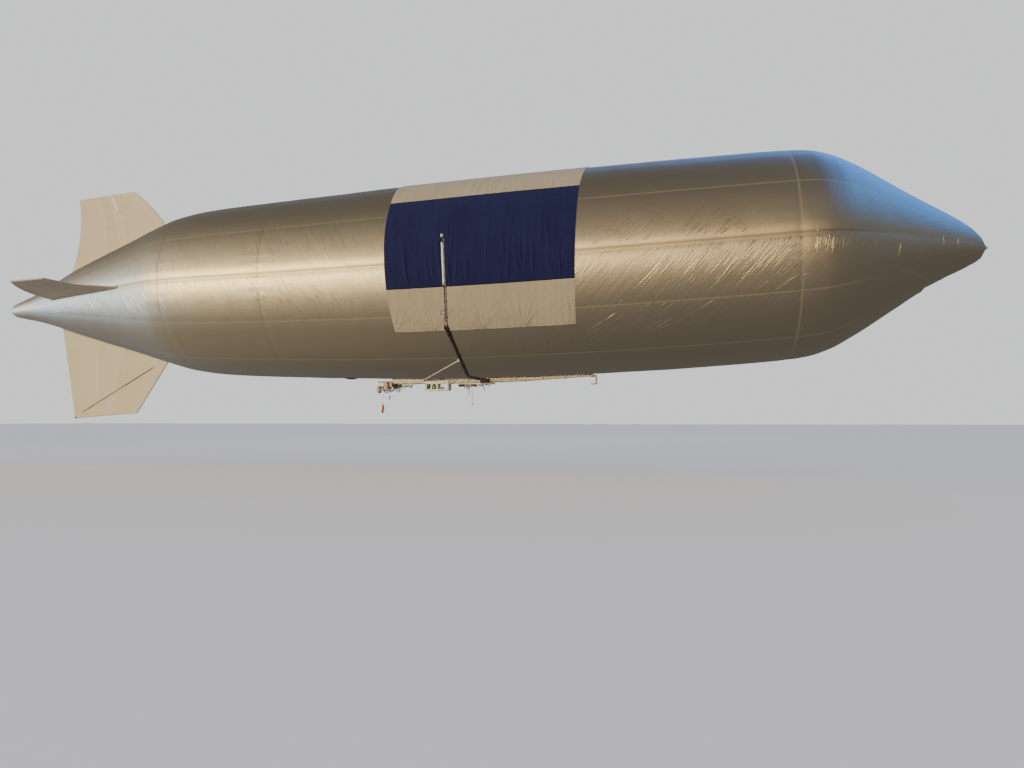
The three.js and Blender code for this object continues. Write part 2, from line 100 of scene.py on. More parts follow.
def meshPiece(name, points, faces, materials, smooth=True, uvs=None):
    mesh = bpy.data.meshes.new(name)
    mesh.from_pydata([tuple(p) for p in points], [], [tuple(f) for f in faces])
    if uvs is not None:
        layer = mesh.uv_layers.new(name="UVMap")
        layer.data.foreach_set("uv", np.asarray(uvs, np.float32).ravel())
    for material in materials:
        mesh.materials.append(material)
    if smooth:
        mesh.polygons.foreach_set("use_smooth", [True] * len(mesh.polygons))
    mesh.update()
    piece = bpy.data.objects.new(name, mesh)
    bpy.context.scene.collection.objects.link(piece)
    return piece


def newParts():
    return {"points": [], "faces": [], "finish": []}


def addFaces(parts, points, faces, finish):
    base = len(parts["points"])
    parts["points"] += [tuple(p) for p in points]
    parts["faces"] += [tuple(base + i for i in f) for f in faces]
    parts["finish"] += [finish] * len(faces)


def addBox(parts, low, high, finish=0, edge=0.004, turn=None):
    low, high = Vector(low), Vector(high)
    middle, half = (low + high) / 2, (high - low) / 2
    edge = min(edge, min(half) * 0.8)
    points, index = [], {}
    for sx in (-1, 1):
        for sy in (-1, 1):
            for sz in (-1, 1):
                for axis in range(3):
                    p = Vector((sx * half.x, sy * half.y, sz * half.z))
                    for other in range(3):
                        if other != axis:
                            p[other] -= edge * (sx, sy, sz)[other]
                    index[sx, sy, sz, axis] = len(points)
                    points.append(middle + (turn @ p if turn else p))
    faces = []
    for axis in range(3):
        a, b = (axis + 1) % 3, (axis + 2) % 3
        for sign in (-1, 1):
            ring = []
            for u, v in ((-1, -1), (1, -1), (1, 1), (-1, 1)):
                key = [0, 0, 0]
                key[axis], key[a], key[b] = sign, u, v
                ring.append(index[(*key, axis)])
            faces.append(ring if sign > 0 else ring[::-1])
        # The chamfer strips along this axis.
        for u, v in ((-1, -1), (1, -1), (1, 1), (-1, 1)):
            low3, high3 = [0, 0, 0], [0, 0, 0]
            low3[axis], high3[axis] = -1, 1
            low3[a] = high3[a] = u
            low3[b] = high3[b] = v
            strip = [index[(*low3, a)], index[(*high3, a)], index[(*high3, b)], index[(*low3, b)]]
            faces.append(strip if u * v < 0 else strip[::-1])
    for sx, sy, sz, axis in list(index):
        if axis == 0:
            corner = [index[sx, sy, sz, k] for k in range(3)]
            faces.append(corner if sx * sy * sz > 0 else corner[::-1])
    addFaces(parts, points, faces, finish)


def addBlock(parts, middle, half, *rest):
    middle, half = Vector(middle), Vector(half)
    addBox(parts, middle - half, middle + half, *rest)


def addTube(parts, path, radius, finish=0, sides=10, closed=False):
    path = [Vector(p) for p in path]
    count = len(path)
    radii = list(radius) if isinstance(radius, (list, tuple, np.ndarray)) else [radius] * count
    normal = None
    points = []
    for i, p in enumerate(path):
        if closed:
            heading = (path[(i + 1) % count] - path[i - 1]).normalized()
        else:
            heading = (path[min(i + 1, count - 1)] - path[max(i - 1, 0)]).normalized()
        if normal is None:
            normal = heading.orthogonal().normalized()
        normal = (normal - heading * normal.dot(heading)).normalized()
        across = heading.cross(normal)
        for k in range(sides):
            turn = 2 * math.pi * k / sides
            points.append(p + (normal * math.cos(turn) + across * math.sin(turn)) * radii[i])
    faces = []
    for i in range(count if closed else count - 1):
        for k in range(sides):
            a, b = i * sides + k, i * sides + (k + 1) % sides
            c, d = (i + 1) % count * sides + (k + 1) % sides, (i + 1) % count * sides + k
            faces.append((a, b, c, d))
    if not closed:
        faces.append(tuple(range(sides))[::-1])
        faces.append(tuple((count - 1) * sides + k for k in range(sides)))
    addFaces(parts, points, faces, finish)


def addRod(parts, start, end, radius, finish=0, sides=12, edge=0.003):
    start, end = Vector(start), Vector(end)
    step = (end - start).normalized() * edge
    worn = radius - edge * 0.8
    addTube(parts, [start, start + step, end - step, end], [worn, radius, radius, worn], finish, sides)


def addBand(parts, middle, heading, profile, finish, sides):
    # Turned round an axis. Profile: place along the axis and radius, in turn.
    addTube(parts, [middle + heading * at for at, _ in profile], [r for _, r in profile], finish, sides)


def circle(count):
    return [2 * math.pi * k / count for k in range(count)]


def gridFaces(rows, columns, flip=False):
    quads = []
    for i in range(rows):
        for j in range(columns):
            a = i * (columns + 1) + j
            quad = (a, a + 1, a + columns + 2, a + columns + 1)
            quads.append(quad[::-1] if flip else quad)
    return quads


def curved(points, steps=6):
    points = [Vector(p) for p in points]
    padded = [points[0] * 2 - points[1]] + points + [points[-1] * 2 - points[-2]]
    path = []
    for i in range(1, len(padded) - 2):
        a, b, c, d = padded[i - 1:i + 3]
        for k in range(steps):
            t = k / steps
            path.append(0.5 * (2 * b + (c - a) * t + (2 * a - 5 * b + 4 * c - d) * t * t
                               + (3 * b - a - 3 * c + d) * t ** 3))
    return path + [points[-1]]


def joinPiece(piece, nodes=()):
    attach(piece, body)
    if nodes:
        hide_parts(*nodes)


def closePiece(name, parts, materials, angle=38, nodes=()):
    piece = meshPiece(name, parts["points"], parts["faces"], materials)
    piece.data.polygons.foreach_set("material_index", parts["finish"])
    piece.data.set_sharp_from_angle(angle=math.radians(angle))
    joinPiece(piece, nodes)


# Camera, as the photograph was taken: low, beside the hull and ahead of its middle.
view = {
    "place": (6.216, -19.001, -4.068),
    "forward": (-0.2023, 0.9780, 0.0516),
    "up": (0.0287, -0.0467, 0.9985),
    "lens": 25.03,
    "sensor": 36,
    "reach": 400,
}
forward = Vector(view["forward"]).normalized()
right = forward.cross(Vector(view["up"])).normalized()
upward = right.cross(forward)
cameraData = bpy.data.cameras.new("camera")
cameraData.lens = view["lens"]
cameraData.sensor_width = view["sensor"]
cameraData.clip_end = view["reach"]
camera = bpy.data.objects.new("camera", cameraData)
turn = Matrix((right, upward, -forward)).transposed().to_4x4()
camera.matrix_world = Matrix.Translation(view["place"]) @ turn
bpy.context.scene.collection.objects.link(camera)
bpy.context.scene.camera = camera

# Nylon cord, braided: a dull black with a fine diagonal weave.
nylonCord, tree, surface = newMaterial("braidedNylonCord", "#23211f", 0.62, **{"Sheen Weight": 0.15})
place = addNode(tree, "TexCoord").outputs["Object"]
weave = addNode(tree, "TexWave", {"Vector": place, "Scale": 180.0, "Distortion": 1.5},
                bands_direction="DIAGONAL")
setInputs(surface, {"Normal": addNode(tree, "Bump", {
    "Height": weave.outputs["Fac"], "Distance": 0.0008, "Strength": 0.6})})

# Cords under the keel: x, y, top z, drop, diameter, sway, all as in the solids.
cords = {
    "pin_lanyard": (-1.430, -0.070, -3.150, 0.380, 0.005, 0.010),
    "ballast_lanyard": (-1.225, -0.060, -3.075, 0.225, 0.005, 0.006),
    "sensor_lead": (1.060, -0.095, -3.136, 0.210, 0.007, 0.012),
    "test_lead": (1.180, -0.080, -3.136, 0.420, 0.009, 0.016),
}


def cordPoint(row, t):
    x, y, top, drop, _, sway = row
    return Vector((x + sway * math.sin(math.pi * t) ** 2, y - sway * t * t, top - drop * t))


cordPieces = {}
steps = 28
for name, row in cords.items():
    points = [cordPoint(row, i / steps) for i in range(steps + 1)]
    curve = bpy.data.curves.new(name + "_cord", "CURVE")
    curve.dimensions = "3D"
    spline = curve.splines.new("POLY")
    spline.points.add(steps)
    for i, p in enumerate(points):
        spline.points[i].co = (*p, 1)
    curve.bevel_depth = row[4] / 2
    curve.bevel_resolution = 3
    curve.use_fill_caps = True
    curve.materials.append(nylonCord)
    piece = bpy.data.objects.new(name + "_cord", curve)
    bpy.context.scene.collection.objects.link(piece)
    cordPieces[name] = (piece, points[0], sum((b - a).length for a, b in zip(points, points[1:])))
    joinPiece(piece, [name])
print("cords hung")

# Hull: rings as in the solids. Columns: x, radius, depth of the lower half as a share of it.
hull = {
    "rings": [
        (-13.960, 0.110, 1), (-13.830, 0.200, 1), (-13.500, 0.300, 1), (-13.000, 0.430, 1),
        (-11.000, 1.130, 1), (-9.000, 1.760, 1), (-7.900, 2.120, 1), (-7.300, 2.290, 1),
        (-6.700, 2.390, 1), (-6.000, 2.450, 1), (-3.000, 2.585, 1), (0.000, 2.680, 1),
        (3.000, 2.720, 1), (6.000, 2.700, 1), (8.200, 2.655, 1), (9.400, 2.610, 1),
        (9.900, 2.560, 1), (10.350, 2.430, 1), (10.900, 2.160, 0.995), (11.900, 1.555, 0.96),
        (12.420, 1.245, 0.91), (12.900, 0.975, 0.875), (13.200, 0.800, 0.85), (13.650, 0.500, 0.875),
        (13.880, 0.270, 1), (13.975, 0.120, 1),
    ],
    "stations": ((-14, -13, 26), (-13, 12, 420), (12, 14, 76)),   # from, to, how many: the last is shared
    "sides": 184,
    "end": 14.0,            # the film ends this far fore and aft of the origin
    "tip": 0.004,           # its radius there
    "arcRadius": 2.7,       # turns a clock angle into metres round the hull
    "fullRadius": 2.0,      # the relief fades where the hull is slimmer
    "seams": (0.0, 28.5, 57.0, 90.0),   # gore seams, in degrees above and below the equator
    # How deep the film is pulled in, and over what half width.
    "seamPull": (0.005, 0.06),
    "equatorPull": (0.010, 0.11),
    "ringPull": (0.006, 0.09),
    # Puckers at the ring seams: height, reach along the hull, reach in degrees, how close they stand.
    "pucker": (0.004, 0.45, 16, 22),
    # Long soft swells of a slack film: height, seed, how many waves, their length.
    "swells": ((0.006, 3, 9, 1.7), (0.0025, 5, 12, 0.7)),
    # Shear folds, leaning towards the loaded keel from both ends.
    "shear": {"height": 0.0008, "middle": 2.0, "below": 6, "reach": 22, "lean": -42, "seed": 11, "waves": 7,
              "length": 0.42, "spread": 0.4},
    "ringSeams": (-6.94, -3.84, 9.4),
    # The crease under the nose. Columns: x, clock.
    "crease": [(12.56, -90.0), (12.53, -70.0), (12.51, -57.6), (12.29, -43.5), (11.90, -31.4),
               (11.47, -24.8), (10.89, -21.4), (10.17, -20.2), (9.2, -19.5)],
    "creaseStep": 0.055,    # how far the film ahead of it has fallen in
    "creaseFade": 0.75,     # how fast that fades towards the nose
    "creaseLip": (0.014, 0.05, 0.03),   # height, half width and place of the lip behind it
}


def smoothTable(xs, values):
    xs = np.asarray(xs, float)
    values = np.asarray(values, float)
    slopes = np.diff(values) / np.diff(xs)
    tangents = np.zeros(len(xs))
    tangents[0], tangents[-1] = slopes[0], slopes[-1]
    for i in range(1, len(xs) - 1):
        a, b = slopes[i - 1], slopes[i]
        if a * b > 0:
            wa = 2 * (xs[i + 1] - xs[i]) + (xs[i] - xs[i - 1])
            wb = (xs[i + 1] - xs[i]) + 2 * (xs[i] - xs[i - 1])
            tangents[i] = (wa + wb) / (wa / a + wb / b)

    def at(x):
        x = np.clip(x, xs[0], xs[-1])
        k = np.clip(np.searchsorted(xs, x) - 1, 0, len(xs) - 2)
        h = xs[k + 1] - xs[k]
        t = (x - xs[k]) / h
        return ((2 * t ** 3 - 3 * t ** 2 + 1) * values[k] + (t ** 3 - 2 * t ** 2 + t) * h * tangents[k]
                + (3 * t ** 2 - 2 * t ** 3) * values[k + 1] + (t ** 3 - t ** 2) * h * tangents[k + 1])
    return at


tail, nose = ((x, hull["tip"], 1) for x in (-hull["end"], hull["end"]))
ringX, ringRadius, ringLow = zip(tail, *hull["rings"], nose)
hullRadius = smoothTable(ringX, ringRadius)
hullLow = smoothTable(ringX, ringLow)


def axisHeight(x):
    x = np.asarray(x, float)
    return (-0.169 * np.maximum(0, 1 - (x / 11) ** 2) - 0.27 * np.maximum(0, (-6.5 - x) / 7.5) ** 1.5
            - 0.11 * np.maximum(0, (x - 10) / 4) ** 1.5)


def hullPoints(x, clock, outward=0.0):
    x, clock = np.broadcast_arrays(np.asarray(x, float), np.asarray(clock, float))
    radius = hullRadius(x) + outward
    angle = np.radians(clock)
    rise = np.sin(angle)
    low = np.where(rise < 0, hullLow(x), 1.0)
    return np.stack([x, -radius * np.cos(angle), axisHeight(x) + radius * rise * low], -1)


def ripples(x, y, seed, count, wave, spread=0.6, heading=None):
    chance = np.random.RandomState(seed)
    total = np.zeros_like(x)
    for _ in range(count):
        angle = chance.uniform(0, 2 * math.pi) if heading is None else heading + chance.uniform(-0.35, 0.35)
        length = wave * chance.uniform(1 - spread, 1 + spread)
        phase = chance.uniform(0, 2 * math.pi)
        total += np.sin(2 * math.pi * (x * math.cos(angle) + y * math.sin(angle)) / length + phase)
    return total / count


creaseX, creaseClock = np.array(hull["crease"]).T


def hump(x, width):
    return np.exp(-(x / width) ** 2)


def filmRelief(x, clock):
    arc = np.radians(clock) * hull["arcRadius"]
    wrapped = (clock + 180) % 360 - 180
    mirrored = np.where(wrapped > 90, 180 - wrapped, np.where(wrapped < -90, -180 - wrapped, wrapped))
    radius = hullRadius(x)
    full = np.clip(radius / hull["fullRadius"], 0, 1)
    # Film pulls in at each seam and swells between two.
    metres = np.radians(1) * radius
    offSeam = np.min([np.abs(np.abs(mirrored) - seam) for seam in hull["seams"]], axis=0)
    relief = np.zeros_like(arc)
    for off, (depth, width) in ((offSeam, hull["seamPull"]), (np.abs(mirrored), hull["equatorPull"])):
        relief -= depth * hump(off * metres, width) * full
    depth, width = hull["ringPull"]
    height, reach, degrees, waves = hull["pucker"]
    for ring in hull["ringSeams"]:
        relief -= depth * hump(x - ring, width)
        pucker = hump(x - ring, reach) * hump(mirrored, degrees)
        relief += height * pucker * np.sin(arc * waves + 3 * np.sin(arc * 3.1)) * full
    for height, seed, count, length in hull["swells"]:
        relief += height * ripples(x, arc, seed, count, length) * full
    shear = hull["shear"]
    lean = np.clip(np.abs(x - shear["middle"]) / 3.0 - 0.6, 0, 1)
    lean *= hump(mirrored + shear["below"], shear["reach"])
    towards = np.where(x > shear["middle"], 1.0, -1.0)
    folds = ripples(x, arc * towards, shear["seed"], shear["waves"], shear["length"], shear["spread"],
                    heading=math.radians(shear["lean"]))
    relief += shear["height"] * lean * folds * full
    # Nose: the film ahead of the crease has fallen in behind it.
    past = x - np.interp(mirrored, creaseClock, creaseX)
    below = np.clip((-mirrored - 19.5) / 22, 0, 1)
    ahead = 1 / (1 + np.exp(np.clip(-past / 0.022, -60, 60)))
    fade = np.exp(-np.clip(past, 0, 9) / hull["creaseFade"])
    relief -= hull["creaseStep"] * below ** 0.8 * ahead * fade
    height, width, behind = hull["creaseLip"]
    return relief + height * below ** 0.5 * hump(past + behind, width)


# Metallised polyester film, rolled satin: it mirrors softly, and each fold shows as a bright and
# a dark line. Pale tape covers the gore seams, a brown one the equator and the rear ring seams.
film, tree, surface = newMaterial("metallisedFilm", "#c2b9a7", 0.33, 1.0)
uv = addNode(tree, "UVMap")
split = addNode(tree, "SeparateXYZ", {"Vector": uv})
along = addNode(tree, "Math", {0: split.outputs["X"], 1: 2 * hull["end"], 2: -hull["end"]},
                operation="MULTIPLY_ADD")
around = addNode(tree, "Math", {0: split.outputs["Y"], 1: 360.0, 2: -180.0}, operation="MULTIPLY_ADD")
arc = addNode(tree, "Math", {0: around, 1: math.radians(hull["arcRadius"])}, operation="MULTIPLY")
flat = addNode(tree, "CombineXYZ", {"X": along, "Y": arc})
steep = addNode(tree, "Math", {0: around, 1: 90.0}, operation="PINGPONG")   # degrees off the equator
# Tape over the seams, soft at its edges: pale on most of them, brown on the equator and the rear rings,
# which fade towards crown and keel. All that run along the hull, but for crown and keel, fade at the nose.
# Columns: tone, what is measured, where, half width.
rearRing, nextRing, foreRing = hull["ringSeams"]
tapeRows = (("pale", steep, 90.0, 0.8), ("pale", steep, hull["seams"][1], 0.60),
            ("pale", steep, hull["seams"][2], 0.60), ("pale", along, foreRing, 0.036),
            ("brown", along, rearRing, 0.040), ("brown", along, nextRing, 0.040), ("brown", steep, 0.0, 0.95))
fade = addNode(tree, "MapRange", {"Value": steep, "From Min": 48.0, "From Max": 10.0, "To Max": 0.75},
               interpolation_type="SMOOTHSTEP")
behindNose = addNode(tree, "MapRange", {"Value": along, "From Min": 11.6, "From Max": 10.3},
                     interpolation_type="SMOOTHSTEP")
tapes = {}
for tone, line, at, half in tapeRows:
    off = addNode(tree, "Math", {0: line, 1: at}, operation="SUBTRACT")
    apart = addNode(tree, "Math", {0: off}, operation="ABSOLUTE")
    here = addNode(tree, "MapRange", {"Value": apart, "From Min": half, "From Max": half * 0.35},
                   interpolation_type="SMOOTHSTEP")
    if tone == "brown" and line is along:
        here = addNode(tree, "Math", {0: here, 1: fade}, operation="MULTIPLY")
    if line is steep and at < 80:
        here = addNode(tree, "Math", {0: here, 1: behindNose}, operation="MULTIPLY")
    if tone in tapes:
        here = addNode(tree, "Math", {0: tapes[tone], 1: here}, operation="MAXIMUM")
    tapes[tone] = here
# Fine wrinkles lean opposite ways fore and aft, both towards the keel. Columns: lean, place in the
# noise, and where along the hull they set in.
heights = []
for lean, seed, start, whole in ((-44, 1.7, 1.5, 5.0), (60, 5.3, 1.5, -2.5)):
    turned = addNode(tree, "VectorRotate", {"Vector": flat, "Angle": math.radians(lean)},
                     rotation_type="Z_AXIS")
    stretched = addNode(tree, "Mapping", {
        "Vector": turned, "Scale": (0.8, 9.0, 1.0), "Location": (seed, seed, 0.0)})
    grain = addNode(tree, "TexNoise", {"Vector": stretched, "Scale": 1.0, "Detail": 2.0, "Roughness": 0.5})
    side = addNode(tree, "MapRange", {"Value": along, "From Min": start, "From Max": whole},
                   interpolation_type="SMOOTHSTEP")
    heights.append(addNode(tree, "Math", {0: grain, 1: side}, operation="MULTIPLY"))
folds = addNode(tree, "Math", {0: heights[0], 1: heights[1]}, operation="ADD")
crinkle = addNode(tree, "TexNoise", {"Vector": flat, "Scale": 14.0, "Detail": 3.0, "Roughness": 0.6})
anyTape = addNode(tree, "Math", {0: tapes["pale"], 1: tapes["brown"]}, operation="MAXIMUM")
bump = addNode(tree, "Bump", {"Height": crinkle, "Distance": 0.004, "Strength": 0.15})
bump = addNode(tree, "Bump", {"Height": folds, "Distance": 0.012, "Strength": 0.35, "Normal": bump})
bump = addNode(tree, "Bump", {"Height": anyTape, "Distance": 0.001, "Strength": 0.15, "Normal": bump})
taped = addNode(tree, "Mix", {"Factor": tapes["pale"], "A": "#c4baa3", "B": "#ccc0a6"}, data_type="RGBA")
tint = addNode(tree, "Mix", {"Factor": tapes["brown"], "A": taped, "B": "#a3957f"}, data_type="RGBA")
# Tape is printed, not metallised, and duller than the film.
metal = addNode(tree, "Math", {0: anyTape, 1: -0.15, 2: 1.0}, operation="MULTIPLY_ADD")
rough = addNode(tree, "MapRange", {"Value": crinkle, "To Min": 0.33, "To Max": 0.43})
setInputs(surface, {"Base Color": tint, "Metallic": metal, "Roughness": rough, "Normal": bump})

stations = np.concatenate([np.linspace(*span)[:-1] for span in hull["stations"]] + [[hull["end"]]])
sides = hull["sides"]
clocks = np.linspace(-180, 180, sides + 1)
gridX, gridClock = np.meshgrid(stations, clocks[:-1], indexing="ij")
envelopePoints = hullPoints(gridX, gridClock, filmRelief(gridX, gridClock)).reshape(-1, 3)
faces, uvs = [], []
for i in range(len(stations) - 1):
    for j in range(sides):
        k = (j + 1) % sides
        faces.append((i * sides + j, (i + 1) * sides + j, (i + 1) * sides + k, i * sides + k))
        u0, u1 = (stations[i:i + 2] + hull["end"]) / (2 * hull["end"])
        v0, v1 = j / sides, (j + 1) / sides
        uvs += [(u0, v0), (u1, v0), (u1, v1), (u0, v1)]
envelope = meshPiece("envelopeFilm", envelopePoints, faces, [film], uvs=uvs)
joinPiece(envelope, ["envelope"])

# Creases: thin straight folds that run down from the equator seam, all leaning to the loaded keel.
creases = {
    # Those that stand out. Columns: x and clock of the upper end, x and clock of the lower end, height in mm.
    "single": [
        (4.83, -3, 4.38, -17, 3.4), (6.62, -4, 5.47, -25, 4.2), (7.43, -4, 6.93, -17, 3.6),
        (8.19, -3, 7.17, -29, 4.8), (8.89, -3, 7.78, -28, 4.6), (8.73, -21, 8.27, -29, 3.0),
        (9.32, -20, 8.39, -34, 4.0), (5.44, -38, 4.68, -42, 2.6), (5.92, -32, 5.44, -38, 2.6),
        (6.93, -30, 7.85, -50, 2.2), (6.14, 21, 5.36, 13, 2.6), (6.36, 16, 5.94, 7, 2.6),
        (6.53, 15, 6.10, 5, 2.8), (7.21, 9, 7.00, 5, 2.4), (7.89, 10, 7.60, 1, 2.8),
        (-6.01, -1, -5.83, -15, 3.2), (-5.60, -2, -5.41, -12, 3.0), (-5.10, 0, -4.80, -14, 3.8),
        (-4.60, -2, -4.33, -14, 3.4), (-4.21, -1, -3.69, -16, 4.4), (-3.38, 0, -2.95, -19, 4.0),
        (-2.48, 20, -1.77, -28, 5.0), (-1.75, 27, -1.15, -24, 4.6), (-0.73, -1, -0.36, -19, 3.8),
        (-3.43, 14, -3.34, 2, 3.0), (-2.60, -7, -2.26, -14, 3.4), (11.03, -5, 11.02, -12, 7.0),
        (11.65, -5, 11.52, -22, 9.0), (12.34, -10, 12.03, -27, 9.0), (12.76, 7, 12.75, -12, 9.5),
        (13.15, 11, 13.13, -12, 9.0), (13.60, 7, 13.60, -22, 7.0), (10.24, 30, 10.34, 25, 3.0),
        (9.71, 1, 9.82, -13, 3.6), (9.92, 0, 10.01, -12, 3.6), (10.13, -1, 10.19, -12, 3.2),
        (10.43, -6, 10.46, -14, 3.4), (-10.47, -11, -9.98, -30, 4.2), (-9.80, -21, -9.53, -34, 3.8),
        (-9.37, -18, -8.94, -42, 4.4), (-8.97, -22, -8.46, -28, 3.6), (-7.59, -12, -7.20, -22, 3.6),
        (-12.21, -2, -11.07, -49, 3.0),
    ],
    # Those between. Columns: how many, x from, x to, clock at the top from and to, degrees down, x run
    # per degree, height in mm.
    "families": [
        (40, 4.5, 7.6, -3, -1, (5, 20), -0.046, (1.4, 3.0)),
        (54, 6.8, 9.4, -4, -1, (5, 28), -0.044, (1.6, 3.6)),
        (40, 6.2, 9.6, -22, -7, (4, 14), -0.043, (1.4, 3.4)),
        (50, 4.9, 8.3, 4, 18, (3, 9), -0.052, (3.2, 6.0)),
        (64, 9.7, 10.8, -4, -1, (4, 12), -0.010, (2.4, 5.5)),
        (22, 4.9, 7.6, -44, -26, (4, 10), -0.075, (3.0, 6.0)),
        (46, -7.2, -2.6, -3, -1, (7, 22), 0.021, (1.8, 4.0)),
        (24, -4.4, -0.5, 6, 24, (8, 20), 0.018, (3.0, 5.5)),
        (34, -3.6, -0.4, -4, -1, (9, 26), 0.020, (2.0, 4.4)),
        (40, -6.6, -1.0, -30, -8, (4, 12), 0.024, (2.4, 5.0)),
        (30, -11.8, -7.0, -24, -3, (12, 30), 0.026, (3.4, 6.4)),
        (12, 11.2, 13.4, -6, 8, (4, 10), -0.004, (1.4, 2.8)),
        (26, -0.2, 4.4, -60, -40, (5, 16), 0.004, (2.6, 5.0)),
        (22, 10.2, 11.4, 18, 36, (2, 6), -0.01, (2.0, 4.0)),
        (26, -9.2, -5.6, 3, 16, (4, 12), 0.020, (3.0, 6.0)),
        (14, 5.0, 8.6, -58, -34, (9, 20), 0.050, (3.0, 5.5)),
    ],
    "width": (0.024, 0.040),
    "steps": 12,
    "seed": 41,
    "portShift": 0.2,       # the port side isn't seen: the same folds, each a little shifted
    "slopeSpread": 0.004,
    "bend": 0.05,           # bow of a fold as a share of its length
    "start": 0.12,          # share of its length over which it rises from the seam
    "sunk": 0.0010,         # how deep its faded end lies in the film
    # Folds that start above the first clock end above the second, the others start below the third.
    "clear": (2.5, 1.2, -1.1),
    "profile": ((-1.0, -0.25), (-0.45, 0.35), (0.0, 1.0), (0.45, 0.35), (1.0, -0.25)),
}


def makeCreases():
    chance = random.Random(creases["seed"])
    shift = creases["portShift"]
    rows = [(0, *row) for row in creases["single"]]
    rows += [(1, a + chance.uniform(-shift, shift), b, c + chance.uniform(-shift, shift), d, e)
             for a, b, c, d, e in creases["single"]]
    border, above, under = creases["clear"]
    for side in (0, 1):
        for count, x0, x1, top0, top1, drops, run, heights in creases["families"]:
            for _ in range(count):
                x, clock = chance.uniform(x0, x1), chance.uniform(top0, top1)
                drop = drops[0] + (drops[1] - drops[0]) * chance.random() ** 1.6
                slope = run + chance.gauss(0, creases["slopeSpread"])
                # None crosses the equator seam.
                if clock > border:
                    drop = min(drop, clock - above)
                else:
                    clock = min(clock, under)
                rows.append((side, x, clock, x + slope * drop, clock - drop, chance.uniform(*heights)))
    points, faces = [], []
    profile, steps = creases["profile"], creases["steps"]
    for side, xa, clockA, xb, clockB, height in rows:
        reach = max(float(hullRadius((xa + xb) / 2)), 0.3)
        rise = math.radians(clockB - clockA) * reach
        length = math.hypot(xb - xa, rise)
        alongX, alongArc = (xb - xa) / length, rise / length
        width = chance.uniform(*creases["width"]) / 2
        bend = chance.uniform(-creases["bend"], creases["bend"]) * length
        t = np.linspace(0, 1, steps + 1)
        # Sharp where it leaves the seam, fading out at its far end.
        taper = np.clip(t / creases["start"], 0, 1) ** 0.6 * (1 - t ** 3) ** 0.8
        base = len(points)
        for across, lift in profile:
            off = bend * 4 * t * (1 - t) + across * width * (0.4 + 0.6 * taper)
            px = xa + t * length * alongX - off * alongArc
            pc = clockA + np.degrees((t * length * alongArc + off * alongX) / reach)
            if side:
                pc = 180 - pc
            out = filmRelief(px, pc) + height / 1000 * lift * taper - creases["sunk"] * (1 - taper)
            points += hullPoints(px, pc, out).tolist()
        for a in range(len(profile) - 1):
            for k in range(steps):
                i = base + a * (steps + 1) + k
                j = i + steps + 1
                faces.append((i, i + 1, j + 1, j) if not side else (i, j, j + 1, i + 1))
    # The folds take the film painted a little brighter: a painted highlight.
    joinPiece(meshPiece("filmCreases", points, faces, [paintedBrightFilm]))


# The same film where it is folded sharp, its colour painted a little brighter than the flat of it: a painted
# highlight along each fold.
paintedBrightFilm, tree, surface = newMaterial("creasedFilmPaintedBright", "#c6bca5", 0.30, 1.0)
grain = addNode(tree, "TexNoise", {"Scale": 30.0, "Detail": 2.0})
setInputs(surface, {"Normal": addNode(tree, "Bump", {"Height": grain, "Distance": 0.002, "Strength": 0.06})})
makeCreases()
print("hull film made")

# Banner: woven polyester over the crown, tied down along the hem.
banner = {
    "rearEdge": [(-36.8, -0.24), (-12.8, -0.29), (13.5, -0.33), (38.8, -0.35), (66.6, -0.43), (90, -0.46)],
    "frontEdge": [(-36.8, 4.32), (-13.9, 4.37), (37.6, 4.47), (61.7, 4.56), (90, 4.60)],
    "across": 250,
    "down": 236,
    "coarse": (52, 118),      # cells of the sheet that is simulated
    "hemClock": -36.8,
    "panel": (-13.3, 38.6),
    "slack": 0.030,
    "hemTies": (-0.24, 0.80, 2.03, 3.08, 4.32),
    "hemRadius": 0.0065,
    "held": {"edge": 0.004, "crown": 1.2, "tie": 0.06, "hem": 0.002},   # how near a held point lies to each
    "seed": 29,
    "foldX": (-0.20, 4.35),
    "rearLean": (0.28, -0.3, 0.5),   # folds near the rear edge lean most: lean, place, reach
    "lift": 0.014,
    "frames": 20,
    "core": {"thickness_outer": 0.006, "cloth_friction": 6},
    "cloth": {"quality": 5, "mass": 0.12, "tension_stiffness": 30, "compression_stiffness": 30,
              "shear_stiffness": 8, "bending_stiffness": 0.3, "air_damping": 2},
    "contact": {"distance_min": 0.006, "use_self_collision": False, "collision_quality": 2},
    "flat": (4.95, 11.93),    # cut width and length of the cloth
    # Folds that hang in the panel, and rays that fan up from each hem tie. Columns: how many,
    # clock at the foot from and to, degrees up, lean in metres, height in mm, width in mm.
    "folds": [
        (44, -12.5, -9.0, (10, 32), (-0.10, 0.05), (8, 20), (22, 42)),
        (26, -6.0, 14.0, (8, 26), (-0.06, 0.04), (5, 12), (22, 40)),
        (18, 38.0, 44.0, (10, 26), (-0.05, 0.05), (4, 9), (26, 46)),
    ],
    "rays": (10, (10, 22), 0.60, (8, 17), (20, 40)),
}


def bannerX(share, clock):
    folded = np.where(clock > 90, 180 - clock, clock)
    rear, front = (np.interp(folded, [c for c, _ in banner[edge]], [x for _, x in banner[edge]])
                   for edge in ("rearEdge", "frontEdge"))
    return rear + (front - rear) * share


